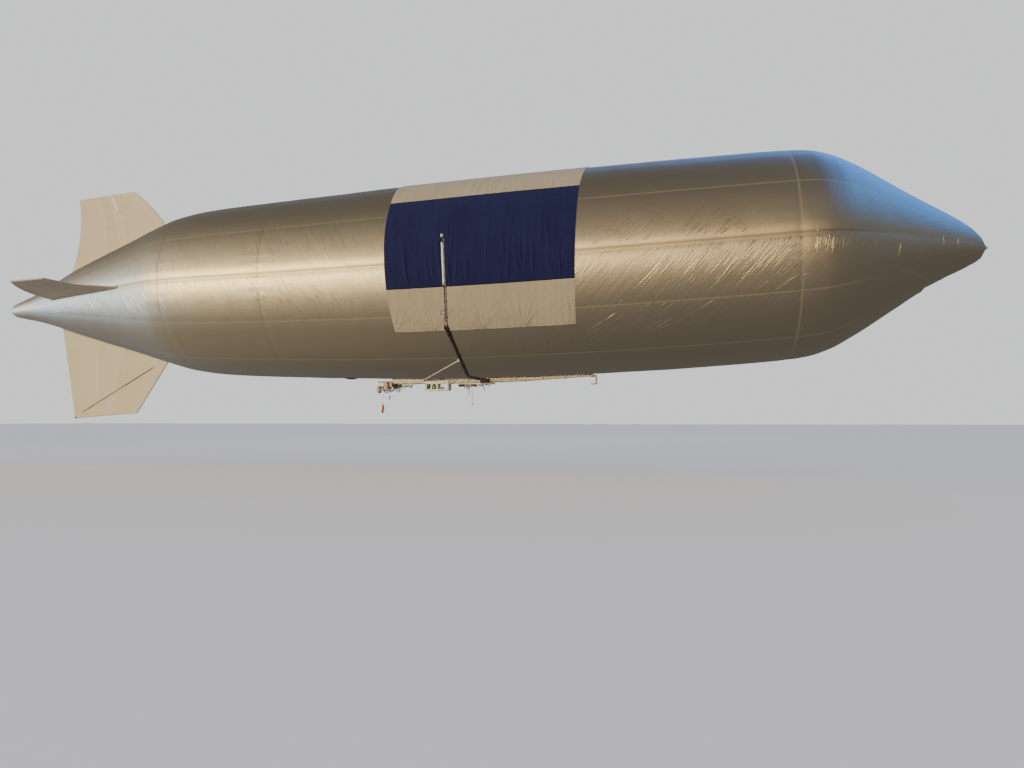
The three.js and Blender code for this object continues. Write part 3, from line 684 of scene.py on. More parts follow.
# Printed woven polyester: matt, with the threads and small pulls showing in a slanting light.
bannerCloth, tree, surface = newMaterial("wovenBannerCloth", "#d6cbb2", 0.85, 0.0, **{
    "Sheen Weight": 0.06, "Sheen Roughness": 0.5, "Specular IOR Level": 0.3})
uv = addNode(tree, "UVMap")
split = addNode(tree, "SeparateXYZ", {"Vector": uv})
spanTurn = 180 - 2 * banner["hemClock"]
clockNode = addNode(tree, "Math", {0: split.outputs["Y"], 1: spanTurn, 2: banner["hemClock"]},
                    operation="MULTIPLY_ADD")
centred = addNode(tree, "Math", {0: clockNode, 1: 90.0}, operation="SUBTRACT")
fromCrown = addNode(tree, "Math", {0: centred}, operation="ABSOLUTE")
low, high = banner["panel"]
middle = 90 - (low + high) / 2
half = (high - low) / 2
panel = addNode(tree, "Math", {0: fromCrown, 1: middle, 2: half}, operation="COMPARE")
metres = addNode(tree, "Mapping", {"Vector": uv, "Scale": (4.8, 11.9, 1.0)})
blotch = addNode(tree, "TexNoise", {"Vector": metres, "Scale": 1.3, "Detail": 4.0})
creamMix = addNode(tree, "Mix", {"Factor": blotch, "A": "#aea592", "B": "#c3bba9"}, data_type="RGBA")
navyMix = addNode(tree, "Mix", {"Factor": blotch, "A": "#111849", "B": "#1e2560"}, data_type="RGBA")
printed = addNode(tree, "Mix", {"Factor": panel, "A": creamMix, "B": navyMix}, data_type="RGBA")
# A darker binding is sewn along the panel's upper and lower edge.
offPanel = addNode(tree, "Math", {0: fromCrown, 1: middle}, operation="SUBTRACT")
onPanel = addNode(tree, "Math", {0: offPanel}, operation="ABSOLUTE")
binding = addNode(tree, "Math", {0: onPanel, 1: half, 2: 0.30}, operation="COMPARE")
bound = addNode(tree, "Mix", {"Factor": binding, "A": printed, "B": "#0d1136"}, data_type="RGBA")
# Threads are 0.4 mm apart, drawn 12 mm apart so that the weave shows from here.
warp, weft = (addNode(tree, "TexWave", {"Vector": metres, "Scale": 26.0, "Distortion": 0.6},
                      bands_direction=way).outputs["Fac"] for way in "XY")
thread = addNode(tree, "Math", {0: warp, 1: weft}, operation="MULTIPLY")
pull = addNode(tree, "Mapping", {"Vector": uv, "Scale": (30.0, 3.0, 1.0)})
pulls = addNode(tree, "TexNoise", {"Vector": pull, "Scale": 1.0, "Detail": 3.0})
bump = addNode(tree, "Bump", {"Height": thread, "Distance": 0.001, "Strength": 0.3})
bump = addNode(tree, "Bump", {"Height": pulls, "Distance": 0.03, "Strength": 0.5, "Normal": bump})
setInputs(surface, {"Base Color": bound, "Normal": bump})


def sheetGrid(across, down, place):
    shares = np.linspace(0, 1, across + 1)
    turns = np.linspace(0, 1, down + 1)
    gridS, gridT = np.meshgrid(shares, turns, indexing="ij")
    points = place(gridS, gridT).reshape(-1, 3)
    faces, uvs = [], []
    for i in range(across):
        for j in range(down):
            a = i * (down + 1) + j
            b = a + down + 1
            faces.append((a, b, b + 1, a + 1))
            s0, s1, t0, t1 = shares[i], shares[i + 1], turns[j], turns[j + 1]
            uvs += [(s0, t0), (s1, t0), (s1, t1), (s0, t1)]
    return points, faces, uvs, gridS.ravel(), gridT.ravel()


def bannerPlace(share, turn):
    clock = banner["hemClock"] + turn * spanTurn
    return hullPoints(bannerX(share, clock), clock, banner["lift"])


def foldRows():
    chance = random.Random(banner["seed"])
    most, rearX, reach = banner["rearLean"]
    rows = []
    for port in (0, 1):
        for count, foot0, foot1, ups, leans, heights, widths in banner["folds"]:
            for _ in range(count):
                foot, x = chance.uniform(foot0, foot1), chance.uniform(*banner["foldX"])
                up = ups[0] + (ups[1] - ups[0]) * chance.random() ** 1.5
                lean = chance.uniform(*leans) - most * math.exp(-(x - rearX) / reach)
                rows.append((port, x, foot, x + lean, foot + up,
                             chance.uniform(*heights), chance.uniform(*widths)))
        count, ups, spread, heights, widths = banner["rays"]
        for tie in banner["hemTies"]:
            for k in range(count):
                up = chance.uniform(*ups)
                fan = (k / (count - 1) - 0.5) * 2 * spread + chance.uniform(-0.06, 0.06)
                if -0.2 < tie + fan < 4.3:
                    rows.append((port, tie + fan * 0.06, banner["hemClock"] + 0.5, tie + fan * up / 14,
                                 banner["hemClock"] + up, chance.uniform(*heights), chance.uniform(*widths)))
    return rows


def foldHeight(x, clock):
    total = np.zeros_like(x)
    port = clock > 90
    folded = np.where(port, 180 - clock, clock)
    for side, xa, ca, xb, cb, height, width in foldRows():
        t = (folded - ca) / (cb - ca)
        inside = np.clip(t, 0, 1)
        window = np.clip(np.minimum((t + 0.10) / 0.20, (1 - t) / 0.55), 0, 1)
        line = xa + (xb - xa) * inside + 0.018 * np.sin(inside * 5 + xa * 7)
        wide = width / 1000 * (0.55 + 0.6 * inside)
        total += (port == bool(side)) * height / 1000 * window ** 1.3 * np.exp(-((x - line) / wide) ** 2)
    return total


def simulateBanner():
    # The sheet is draped coarsely; what the cloth moves by is then added to the fine one.
    across, down = banner["coarse"]
    points, faces, uvs, shareOf, turnOf = sheetGrid(across, down, bannerPlace)
    clockOf = banner["hemClock"] + turnOf * spanTurn
    sheet = meshPiece("clothSheet", points, faces, [bannerCloth], uvs=uvs)
    cut = points.copy()
    low = np.clip((13 - np.where(clockOf > 90, 180 - clockOf, clockOf)) / 40, 0, 1)
    width = (bannerX(1.0, clockOf) - bannerX(0.0, clockOf)) * (1 + banner["slack"] * (1 + low))
    cut[:, 0] = (shareOf - 0.5) * width
    cut[:, 1] = turnOf * banner["flat"][1]
    cut[:, 2] = 0
    sheet.shape_key_add(name="Basis")
    key = sheet.shape_key_add(name="cut")
    key.data.foreach_set("co", cut.astype(np.float32).ravel())
    key.value = 0
    held, near = sheet.vertex_groups.new(name="held"), banner["held"]
    for i, (s, t) in enumerate(zip(shareOf, turnOf)):
        x = float(bannerX(s, clockOf[i]))
        tied = min(t, 1 - t) < near["hem"] and min(abs(x - at) for at in banner["hemTies"]) < near["tie"]
        if min(s, 1 - s) < near["edge"] or abs(clockOf[i] - 90) < near["crown"] or tied:
            held.add([i], 1.0, "REPLACE")
    cx, cc = np.meshgrid(np.linspace(-1.4, 5.6, 44), np.linspace(-180, 180, 97)[:-1], indexing="ij")
    coreFaces = [(i * 96 + j, (i + 1) * 96 + j, (i + 1) * 96 + (j + 1) % 96, i * 96 + (j + 1) % 96)
                 for i in range(43) for j in range(96)]
    core = meshPiece("clothCore", hullPoints(cx, cc).reshape(-1, 3), coreFaces, [film])
    core.modifiers.new("collision", "COLLISION")
    cloth = sheet.modifiers.new("cloth", "CLOTH")
    cloth.settings.vertex_group_mass = "held"
    cloth.settings.rest_shape_key = key
    for owner, values in ((core.collision, banner["core"]), (cloth.settings, banner["cloth"]),
                          (cloth.collision_settings, banner["contact"]),
                          (cloth.point_cache, {"frame_start": 1, "frame_end": banner["frames"]})):
        for name, value in values.items():
            setattr(owner, name, value)
    scene = bpy.context.scene
    for number in range(1, banner["frames"] + 1):
        scene.frame_set(number)
    shaped = sheet.evaluated_get(bpy.context.evaluated_depsgraph_get())
    shape = np.zeros(len(points) * 3, np.float32)
    shaped.data.vertices.foreach_get("co", shape)
    bpy.data.objects.remove(sheet)
    bpy.data.objects.remove(core)
    scene.frame_set(1)
    return (shape.reshape(-1, 3) - points).reshape(across + 1, down + 1, 3)


points, faces, uvs, shareOf, turnOf = sheetGrid(banner["across"], banner["down"], bannerPlace)
clockOf = banner["hemClock"] + turnOf * spanTurn
angle = np.radians(clockOf)
fold = foldHeight(bannerX(shareOf, clockOf), clockOf)
fold += 0.0015 * ripples(shareOf * 4.8, turnOf * 11.9, 21, 6, 0.4)
# The rear and front edges lie flat, tacked to the film.
fold *= np.clip(np.minimum(shareOf, 1 - shareOf) / 0.02, 0, 1)
points += np.stack([np.zeros_like(angle), -np.cos(angle), np.sin(angle)], -1) * fold[:, None]
moved = simulateBanner()
print("banner simulated, largest move", round(float(np.abs(moved).max()), 3))
across, down = banner["coarse"]
i = np.minimum((shareOf * across).astype(int), across - 1)
j = np.minimum((turnOf * down).astype(int), down - 1)
u, v = (shareOf * across - i)[:, None], (turnOf * down - j)[:, None]
u, v = u * u * (3 - 2 * u), v * v * (3 - 2 * v)
points += ((1 - u) * (1 - v) * moved[i, j] + u * (1 - v) * moved[i + 1, j]
           + (1 - u) * v * moved[i, j + 1] + u * v * moved[i + 1, j + 1])
bannerSheet = meshPiece("bannerCloth", points, faces, [bannerCloth], uvs=uvs)
joinPiece(bannerSheet, ["banner_crown", "banner_panel_starboard", "banner_hem_starboard",
                        "banner_panel_port", "banner_hem_port"])
# A rolled hem along the foot of each side, with a short tab at every tie.
hemParts = newParts()
grid = points.reshape(banner["across"] + 1, banner["down"] + 1, 3)
for column, clock in ((0, banner["hemClock"]), (banner["down"], 180 - banner["hemClock"])):
    foot = [Vector(grid[k, column]) for k in range(0, banner["across"] + 1, 2)]
    addTube(hemParts, foot, banner["hemRadius"], 0, 8)
    outward = Vector((0, -math.cos(math.radians(clock)), math.sin(math.radians(clock))))
    downward = Vector((0, -outward.z, outward.y)) * (1 if column else -1)
    for tie in banner["hemTies"][1:-1]:
        at = min(foot, key=lambda p: abs(p.x - tie))
        addTube(hemParts, [at + downward * down + outward * out
                           for down, out in ((-0.02, 0.006), (0.03, 0.004), (0.075, -0.008))],
                [0.007, 0.010, 0.006], 0, 8)
closePiece("bannerHem", hemParts, [bannerCloth])
print("banner draped")

# Painted and bare finishes. Columns: name, base, worn, roughness, metallic, grain scale, grain depth, coat.
finishTable = [
    # Polyurethane paint sprayed over ply and alloy: cream, slightly orange-peeled, rubbed along edges.
    ("sprayedCreamPaint", "#d8cbb0", "#b7a789", 0.42, 0.0, 60, 0.0006, 0.25),
    # Satin white powder coat: even and soft, greyed where it was handled.
    ("powderCoatedWhite", "#f6f4ee", "#e0dcd2", 0.38, 0.0, 90, 0.0004, 0.2),
    # Glass-filled nylon, moulded: nearly black with a fine spark-eroded grain.
    ("mouldedBlackNylon", "#1d1c1b", "#2c2a28", 0.55, 0.0, 220, 0.0004, 0.0),
    # Gel-coated glass fibre: glossy white skin that lets the radio through.
    ("gelCoatedGlassFibre", "#f4f2ec", "#e2ded4", 0.22, 0.0, 30, 0.0003, 0.5),
    # Kraft-backed cloth tape, wound by hand: matt tan, darker at each lap.
    ("woundTanTape", "#8a6344", "#5f422d", 0.7, 0.0, 45, 0.0012, 0.0),
    # Zinc-plated steel: dull silver with a faint bloom.
    ("zincPlatedSteel", "#b4b2ac", "#8d8a84", 0.36, 1.0, 120, 0.0003, 0.0),
    # Friction tape, wound by hand: dull dark brown, thicker at each lap.
    ("woundBrownTape", "#4a352a", "#33241c", 0.75, 0.0, 45, 0.0012, 0.0),
    # Grey PVC cable sheath, extruded: smooth, half matt.
    ("extrudedGreySheath", "#8f8b85", "#77736d", 0.45, 0.0, 40, 0.0003, 0.0),
    # Orange heat-shrink and lacing thread: small bright marks on the gear.
    ("orangeHeatShrink", "#b4552a", "#8f3f20", 0.5, 0.0, 60, 0.0004, 0.0),
    # White lacing cord, waxed: off-white and slightly shiny.
    ("waxedLacingCord", "#ddd9cf", "#b9b3a6", 0.55, 0.0, 160, 0.0005, 0.1),
    # Painted shade for the gap between keel and belly: a near-black sheet, mottled brown.
    ("paintedGapShade", "#2b2723", "#453c33", 0.8, 0.0, 80, 0.0008, 0.0),
    # Edge binding: woven, rust red.
    ("rustRedBinding", "#7c3b28", "#5b2c1f", 0.75, 0.0, 90, 0.0006, 0.0),
    # Blue ripstop ties.
    ("blueTieCloth", "#45607f", "#32475f", 0.7, 0.0, 120, 0.0005, 0.0),
]
finishes = []
for name, base, worn, roughness, metallic, scale, depth, coat in finishTable:
    finish, tree, surface = newMaterial(name, base, roughness, metallic,
                                        **{"Coat Weight": coat, "Coat Roughness": 0.15})
    place = addNode(tree, "TexCoord").outputs["Object"]
    cloud = addNode(tree, "TexNoise", {"Vector": place, "Scale": scale / 8, "Detail": 5.0, "Roughness": 0.6})
    share = addNode(tree, "MapRange", {"Value": cloud, "From Min": 0.42, "From Max": 0.72})
    mix = addNode(tree, "Mix", {"Factor": share, "A": base, "B": worn}, data_type="RGBA")
    rough = addNode(tree, "MapRange", {
        "Value": cloud, "To Min": roughness - 0.06, "To Max": roughness + 0.1})
    grain = addNode(tree, "TexNoise", {"Vector": place, "Scale": scale, "Detail": 3.0})
    bump = addNode(tree, "Bump", {"Height": grain, "Distance": depth, "Strength": 0.6})
    setInputs(surface, {"Base Color": mix, "Roughness": rough, "Normal": bump})
    finishes.append(finish)
(creamPaint, whitePaint, blackNylon, gelCoat, tanTape, zincSteel, brownWrap, greySheath, orangeSleeve,
 lacingCord, gapShadeSheet, rustTape, blueTie) = finishes

# Carbon tube, wrapped from prepreg tape and lacquered: black with a faint slanting weave.
carbonTube, tree, surface = newMaterial("wrappedCarbonTube", "#1b1b1d", 0.34, 0.0,
                                        **{"Coat Weight": 0.6, "Coat Roughness": 0.12})
place = addNode(tree, "TexCoord").outputs["Object"]
# Tows are 2 mm wide, drawn 14 mm so that they show at this distance.
tows = addNode(tree, "TexWave", {"Vector": place, "Scale": 22.0, "Distortion": 0.4},
               bands_direction="DIAGONAL")
setInputs(surface, {"Base Color": addNode(tree, "Mix", {
    "Factor": tows.outputs["Fac"], "A": "#161617", "B": "#2a2a2d"}, data_type="RGBA")})

# Coated ripstop over a frame: cream nylon, calendered, with a fine square grid of thicker threads.
finSkin, tree, surface = newMaterial("coatedRipstopNylon", "#ded2ba", 0.52, 0.0, **{
    "Subsurface Weight": 0.05, "Subsurface Radius": (0.02, 0.015, 0.01), "Sheen Weight": 0.12,
    "Coat Weight": 0.1, "Coat Roughness": 0.35})
place = addNode(tree, "TexCoord").outputs["Object"]
# The ripstop grid is 6 mm, drawn 60 mm so that it shows at this distance.
gridA, gridB = (addNode(tree, "TexWave", {"Vector": place, "Scale": 5.2}, bands_direction=way).outputs["Fac"]
                for way in "XZ")
lines = addNode(tree, "Math", {0: gridA, 1: gridB}, operation="MAXIMUM")
thin = addNode(tree, "Math", {0: lines, 1: 14.0}, operation="POWER")
soil = addNode(tree, "TexNoise", {"Vector": place, "Scale": 0.9, "Detail": 6.0})
tone = addNode(tree, "Mix", {"Factor": soil, "A": "#d3c6ab", "B": "#e3d9c3"}, data_type="RGBA")
slack = addNode(tree, "TexNoise", {"Vector": place, "Scale": 2.2, "Detail": 3.0})
bump = addNode(tree, "Bump", {"Height": slack, "Distance": 0.02, "Strength": 0.25})
bump = addNode(tree, "Bump", {"Height": thin, "Distance": 0.0006, "Strength": 0.4, "Normal": bump})
setInputs(surface, {"Base Color": tone, "Normal": bump})

# Cloth with a weave. Columns: name, base, roughness, the two tones of its soil or fading, that
# cloud's scale and detail, direction and scale of the weave, its depth.
clothTable = [
    # Padded cover over the batteries: cream canvas, sewn in channels, soiled in patches.
    ("sewnCreamCanvas", "#d6cab0", 0.85, "#b7a98c", "#e0d5bd", 14.0, 6.0, "DIAGONAL", 160.0, 0.001),
    # Warning ribbon: red polyester weave, faded in patches.
    ("wovenRedRibbon", "#d8432a", 0.7, "#c2352a", "#e5573e", 18.0, 3.0, "Z", 150.0, 0.0008),
]
cloths = []
for name, base, roughness, darker, paler, scale, detail, way, threads, depth in clothTable:
    cloth, tree, surface = newMaterial(name, base, roughness, 0.0, **{"Sheen Weight": 0.3})
    place = addNode(tree, "TexCoord").outputs["Object"]
    soil = addNode(tree, "TexNoise", {"Vector": place, "Scale": scale, "Detail": detail})
    tone = addNode(tree, "Mix", {"Factor": soil, "A": darker, "B": paler}, data_type="RGBA")
    weave = addNode(tree, "TexWave", {"Vector": place, "Scale": threads, "Distortion": 1.0},
                    bands_direction=way)
    bump = addNode(tree, "Bump", {"Height": weave.outputs["Fac"], "Distance": depth, "Strength": 0.4})
    setInputs(surface, {"Base Color": tone, "Normal": bump})
    cloths.append(cloth)
canvas, redRibbon = cloths
print("finishes mixed")

# Solids that need no more than their finish.
finishOf = {
    # Nose and tail caps take the same film, painted a little brighter.
    "belly_valve": blackNylon, "nose_cap": paintedBrightFilm, "tail_cap": paintedBrightFilm, "mooring_eye": zincSteel,
    "keel_aft": creamPaint, "keel_centre": creamPaint, "keel_front": creamPaint,
    "equipment_frame": whitePaint, "front_bracket": creamPaint, "outrigger_arm": carbonTube,
    "outrigger_brace": creamPaint, "mast_clamp": blackNylon, "mast": carbonTube, "antenna": gelCoat,
    "antenna_feed": blackNylon, "mast_bracket": blackNylon, "receiver_ball": gelCoat,
    "test_plug": blackNylon, "sensor_plug": gelCoat,
}
for name, finish in finishOf.items():
    node = frame["nodes"][name]
    node.data.materials.clear()
    node.data.materials.append(finish)

# Fins: cream skin over a frame. Columns: name, clock, root front x, tip front x, tip rear x,
# root rear x, tip front height, tip rear height, bow of the front and of the rear edge, and x and
# height of the kink in the front edge.
fins = {
    "table": [
        ("fin_upper", 90, -8.330, -9.600, -11.550, -11.900, 3.375, 3.275, 0.130, 0.190, None),
        ("fin_lower", -90, -8.350, -9.440, -11.620, -12.110, 3.465, 3.575, 0.0, 0.0, None),
        ("fin_starboard", 0, -8.500, -9.430, -10.500, -11.700, 3.470, 3.400, 0.0, -0.210, (-9.350, 2.560)),
        ("fin_port", 180, -8.500, -9.430, -10.500, -11.700, 3.470, 3.400, 0.0, -0.210, (-9.350, 2.560)),
    ],
    "axisZ": -0.135,
    "edgeTube": 0.020,     # radius of the frame tube along the edges
    "hollow": 0.013,       # how far the skin falls in between the tubes
    "hollowReach": 0.16,   # how far from a tube the skin has mostly fallen in
    "chordReach": 2.2,     # turns a share of the chord into metres
    "heightReach": 1.8,    # and a share of the height
    "rootReach": 0.25,     # the root holds the skin less than a tube does
    "ribs": (0.0022, 0.2, 40, 5, 7),   # small puckers at the tubes: height, reach, three wave numbers
    "spars": ((0.40, 0.40), (0.64, 0.62)),   # shares of the chord at root and tip
    "up": 46,
    "chord": 52,
    "edgeSteps": 24,
    "tape": 0.0145,        # radius of the sewn tape over each spar
}


def finAxes(clock):
    turn = math.radians(clock)
    return Vector((0, -math.cos(turn), math.sin(turn))), Vector((0, math.sin(turn), math.cos(turn)))


def finFoot(clock, x):
    # The fins' own axis is straight while the hull's droops behind it.
    droop = (float(axisHeight(x)) - fins["axisZ"]) * math.sin(math.radians(clock))
    return float(hullRadius(x)) - 0.03 + droop


def finPoint(row, up, chord, side, depth):
    _, clock, rootFront, tipFront, tipRear, rootRear, frontHeight, rearHeight, frontBow, rearBow, kink = row
    wave = 4 * up * (1 - up)
    front = rootFront + (tipFront - rootFront) * up + frontBow * wave
    if kink:
        foot = finFoot(clock, rootFront)
        at = (kink[1] - foot) / (frontHeight - foot)
        front = float(np.interp(up, (0, at, 1), (rootFront, kink[0], tipFront)))
    rear = rootRear + (tipRear - rootRear) * up + rearBow * wave
    x = front + (rear - front) * chord
    foot = finFoot(clock, rootFront + (rootRear - rootFront) * chord)
    height = foot + (frontHeight + (rearHeight - frontHeight) * chord - foot) * up
    out, across = finAxes(clock)
    return Vector((x, 0, fins["axisZ"])) + out * height + across * side * depth


def makeFin(row):
    parts = newParts()
    upCount, chordCount, spars = fins["up"], fins["chord"], fins["spars"]
    wide, tall = fins["chordReach"], fins["heightReach"]
    height, reach, waves, sway, turns = fins["ribs"]
    for side in (-1, 1):
        points = []
        for i in range(upCount + 1):
            up = i / upCount
            for j in range(chordCount + 1):
                chord = j / chordCount
                gaps = [min(chord, 1 - chord) * wide, (1 - up) * tall, up * tall + fins["rootReach"]]
                gaps += [abs(chord - (a + (b - a) * up)) * wide for a, b in spars]
                near = min(gaps)
                fall = fins["hollow"] * (1 - math.exp(-(near / fins["hollowReach"]) ** 2))
                rib = height * math.sin(up * waves + sway * math.sin(chord * turns)) * math.exp(-near / reach)
                points.append(finPoint(row, up, chord, side, fins["edgeTube"] - fall + rib))
        addFaces(parts, points, gridFaces(upCount, chordCount, side < 0), 0)
    shares = [k / fins["edgeSteps"] for k in range(fins["edgeSteps"] + 1)]
    for edge in ([(t, 0) for t in shares], [(1, t) for t in shares], [(1 - t, 1) for t in shares]):
        path = [finPoint(row, up, chord, 0, 0) for up, chord in edge]
        addTube(parts, path, fins["edgeTube"] + 0.002, 0, 10)
    # Sewn tape over each spar, proud of the skin.
    for a, b in spars:
        for side in (-1, 1):
            spar = [finPoint(row, t, a + (b - a) * t, side, fins["edgeTube"] - 0.012) for t in shares[2:]]
            addTube(parts, spar, fins["tape"], 0, 8)
    return parts


for row in fins["table"]:
    closePiece(row[0] + "_skin", makeFin(row), [finSkin, creamPaint], 40, [row[0]])

# What shows on the fins: a pale batten, a dark stay slot, the tip fitting and root lacing.
finMarks = {
    "battenUp": ((-10.406, 3.232), (-10.146, 2.671)),
    "battenHalf": (0.008, 0.045),     # half thickness and half width
    "stayLow": ((-11.375, -3.553), (-8.859, -2.233)),
    "side": 0.022,
}
parts = newParts()
(x0, z0), (x1, z1) = finMarks["battenUp"]
for side in (-1, 1):
    addBlock(parts, ((x0 + x1) / 2, side * finMarks["side"], (z0 + z1) / 2),
             (math.hypot(x1 - x0, z1 - z0) / 2, *finMarks["battenHalf"]), 0, 0.002,
             Matrix.Rotation(math.atan2(z0 - z1, x1 - x0), 3, "Y"))
(x0, z0), (x1, z1) = finMarks["stayLow"]
for side in (-1, 1):
    y = side * finMarks["side"]
    addTube(parts, [(x0 + (x1 - x0) * t, y, z0 + (z1 - z0) * t) for t in (0, 0.02, 0.5, 0.98, 1)],
            [0.005, 0.009, 0.009, 0.009, 0.005], 1, 8)
addBox(parts, (-11.645, -0.028, -3.738), (-11.585, 0.028, -3.690), 2, 0.008)
closePiece("finBattensAndStays", parts, [whitePaint, brownWrap, blackNylon])

# Root skirts: a strip of tape on each side of each fin's root, laced to the hull.
parts = newParts()
steps = 60
for row in fins["table"]:
    outward, sideways = finAxes(row[1])
    for side in (-1, 1):
        across = sideways * side
        ribbon = []
        for k in range(steps + 1):
            chord = k / steps
            foot = finPoint(row, 0, chord, side, fins["edgeTube"] - 0.004)
            lifted = finPoint(row, 0.030 + 0.004 * math.sin(k * 1.7), chord, side, fins["edgeTube"] + 0.003)
            spread = 0.030 + 0.004 * math.sin(k * 2.3)
            ribbon += [lifted, foot + outward * 0.045 + across * 0.010,
                       foot + across * spread + outward * 0.034]
        addFaces(parts, ribbon, gridFaces(steps, 2, side < 0), 0)
        # Lacing: a zigzag of waxed cord along the strip.
        lace = []
        for k in range(steps + 1):
            top, middle, low = ribbon[k * 3:k * 3 + 3]
            lace.append(top - (top - middle) * 0.15 if k % 2 else low)
        addTube(parts, lace, 0.010, 1, 6)
closePiece("finRootLacing", parts, [finSkin, lacingCord])
print("fins covered")

# Keel line: foot of the spar at x, as in the solids.
keelX = (-1.560, -1.128, -1.085, 0.560, 1.670, 2.650, 3.720, 4.530)
keelDepth = (0.030, 0.036, 0.085, 0.118, 0.124, 0.112, 0.066, 0.034)
keelTop = -2.885


def keelFoot(x):
    return keelTop - float(np.interp(x, keelX, keelDepth))


def bellyAt(x, y=0.0):
    radius = float(hullRadius(x))
    return float(axisHeight(x)) - math.sqrt(max(radius ** 2 - y ** 2, 0))


# Battery pack: two sewn, channelled pouches under the keel's tail, with boards between them.
pack = {
    "pouches": [  # x, half width, top z, foot z, thickness, lean in metres, channels
        (-1.331, 0.128, -2.905, -3.135, 0.142, 0.006, 7),
        (-1.186, 0.108, -2.912, -3.060, 0.094, 0.010, 5),
    ],
    "boards": [(-1.247, 0.118, -2.925, -3.098, 0.010, 0.006), (-1.238, 0.112, -2.930, -3.080, 0.008, 0.008)],
}


def makePouch(parts, x, half, top, foot, thick, lean, channels, finish):
    rows, around = 18, 56
    points = []
    for i in range(rows + 1):
        t = i / rows
        z = top + (foot - top) * t
        swell = (1 - abs(2 * t - 1) ** 4) ** 0.5 if 0 < t < 1 else 0.0
        swell = 0.35 + 0.65 * swell
        for k in range(around):
            turn = 2 * math.pi * k / around
            cx, cy = math.cos(turn), math.sin(turn)
            rounded = 1 / (abs(cx) ** 5 + abs(cy) ** 5) ** 0.2
            seam = abs(math.sin(channels * math.pi * (cy * rounded + 1) / 2))
            depth = 1 - 0.10 * (1 - seam ** 0.5) * abs(cx)
            px = x + lean * t + cx * rounded * thick / 2 * swell * depth
            py = cy * rounded * half * (0.9 + 0.1 * swell) * (1 - 0.03 * (1 - seam))
            points.append(Vector((px, py, z + 0.004 * math.sin(turn * 3 + t * 7))))
    faces = []
    for i in range(rows):
        for k in range(around):
            a, b = i * around + k, i * around + (k + 1) % around
            faces.append((a, a + around, b + around, b))
    faces.append(tuple(range(around)))
    faces.append(tuple(rows * around + k for k in range(around))[::-1])
    addFaces(parts, points, faces, finish)


parts = newParts()
for row in pack["pouches"]:
    makePouch(parts, *row, 0)
for x, half, top, foot, thick, lean in pack["boards"]:
    tilt = Matrix.Rotation(-lean / (top - foot), 3, "Y")
    addBlock(parts, (x + lean / 2, 0, (foot + top) / 2), (thick / 2, half, (top - foot) / 2), 1, 0.002, tilt)
# Webbing straps over the pouches, with a ladder buckle each.
strap = [(-1.403, -2.93), (-1.408, -3.02), (-1.402, -3.10), (-1.372, -3.140), (-1.31, -3.143),
         (-1.262, -3.12), (-1.225, -3.078), (-1.165, -3.068), (-1.132, -3.02), (-1.130, -2.97)]
sideways = Vector((0, 1, 0))
for y in (-0.075, 0.078):
    path = curved([(x, y, z) for x, z in strap], 5)
    for a, b in zip(path, path[1:]):
        heading = (b - a).normalized()
        turnTo = Matrix((heading, sideways, heading.cross(sideways))).transposed()
        addBlock(parts, (a + b) / 2, ((b - a).length / 2 + 0.001, 0.016, 0.0012), 2, 0.0005, turnTo)
    addBox(parts, (-1.416, y - 0.022, -3.045), (-1.403, y + 0.022, -3.005), 3, 0.003)
closePiece("batteryPack", parts, [canvas, tanTape, blackNylon, zincSteel], 50,
           ["battery_box", "ballast_box"])

# Trim unit on the keel's tail: a plate, a flat round geared motor with its caps, and a weight on a strap.
trim = {
    "x": -1.563, "z": -3.098, "wide": 0.054, "tall": 0.076, "half": 0.062,
    "sides": 32,
    # Outline from the middle to one end. Columns: share of the half length, share of the radius.
    "profile": ((0.20, 1.05), (0.22, 1.0), (0.92, 1.0), (1.0, 0.93), (1.08, 0.60), (1.12, 0.25)),
}
parts = newParts()
hub = Vector((trim["x"], 0, trim["z"]))
sides = trim["sides"]
rings = [(-y, share) for y, share in trim["profile"][::-1]] + list(trim["profile"])
points = [hub + Vector((trim["wide"] * share * math.cos(a), y * trim["half"],
                        trim["tall"] * share * math.sin(a)))
          for y, share in rings for a in circle(sides)]
skin = [(i * sides + k, i * sides + (k + 1) % sides, (i + 1) * sides + (k + 1) % sides, (i + 1) * sides + k)
        for i in range(len(rings) - 1) for k in range(sides)]
skin += [tuple(range(sides))[::-1], tuple((len(rings) - 1) * sides + k for k in range(sides))]
addFaces(parts, points, skin, 0)
for turn in circle(6):
    spot = hub + Vector((math.cos(turn + 0.3) * trim["wide"], 0, math.sin(turn + 0.3) * trim["tall"])) * 0.76
    addRod(parts, spot - Vector((0, 0.072, 0)), spot - Vector((0, 0.058, 0)), 0.005, 3, 6, 0.001)
addRod(parts, hub - Vector((0, 0.079, 0)), hub - Vector((0, 0.066, 0)), 0.014, 1, 16)
addBox(parts, (-1.560, -0.085, -3.060), (-1.404, 0.085, -3.030), 1, 0.006)
for x, y in ((-1.545, -0.070), (-1.430, 0.040), (-1.545, 0.070), (-1.425, 0.070)):
    addRod(parts, (x, y, -3.065), (x, y, -3.059), 0.009, 3, 6, 0.0015)
    addRod(parts, (x, y, -3.031), (x, y, -2.912), 0.007, 3, 8, 0.001)
addBox(parts, (-1.440, -0.080, -3.148), (-1.420, -0.060, -3.058), 1, 0.004)
for y, z in ((-0.035, -3.178), (0.010, -3.190), (0.045, -3.176)):
    weight = [(-1.604, y, z + 0.022), (-1.575, y, z - 0.014), (-1.535, y, z - 0.012), (-1.515, y, z + 0.010)]
    addTube(parts, curved(weight, 6), 0.014, 4, 10)
lead = [(-1.545, -0.03, -3.056), (-1.500, -0.05, -3.090), (-1.475, -0.06, -3.062), (-1.450, -0.05, -3.058)]
addTube(parts, curved(lead, 6), 0.005, 1, 8)
closePiece("trimMotor", parts, [creamPaint, blackNylon, greySheath, zincSteel, orangeSleeve], 42,
           ["trim_unit"])

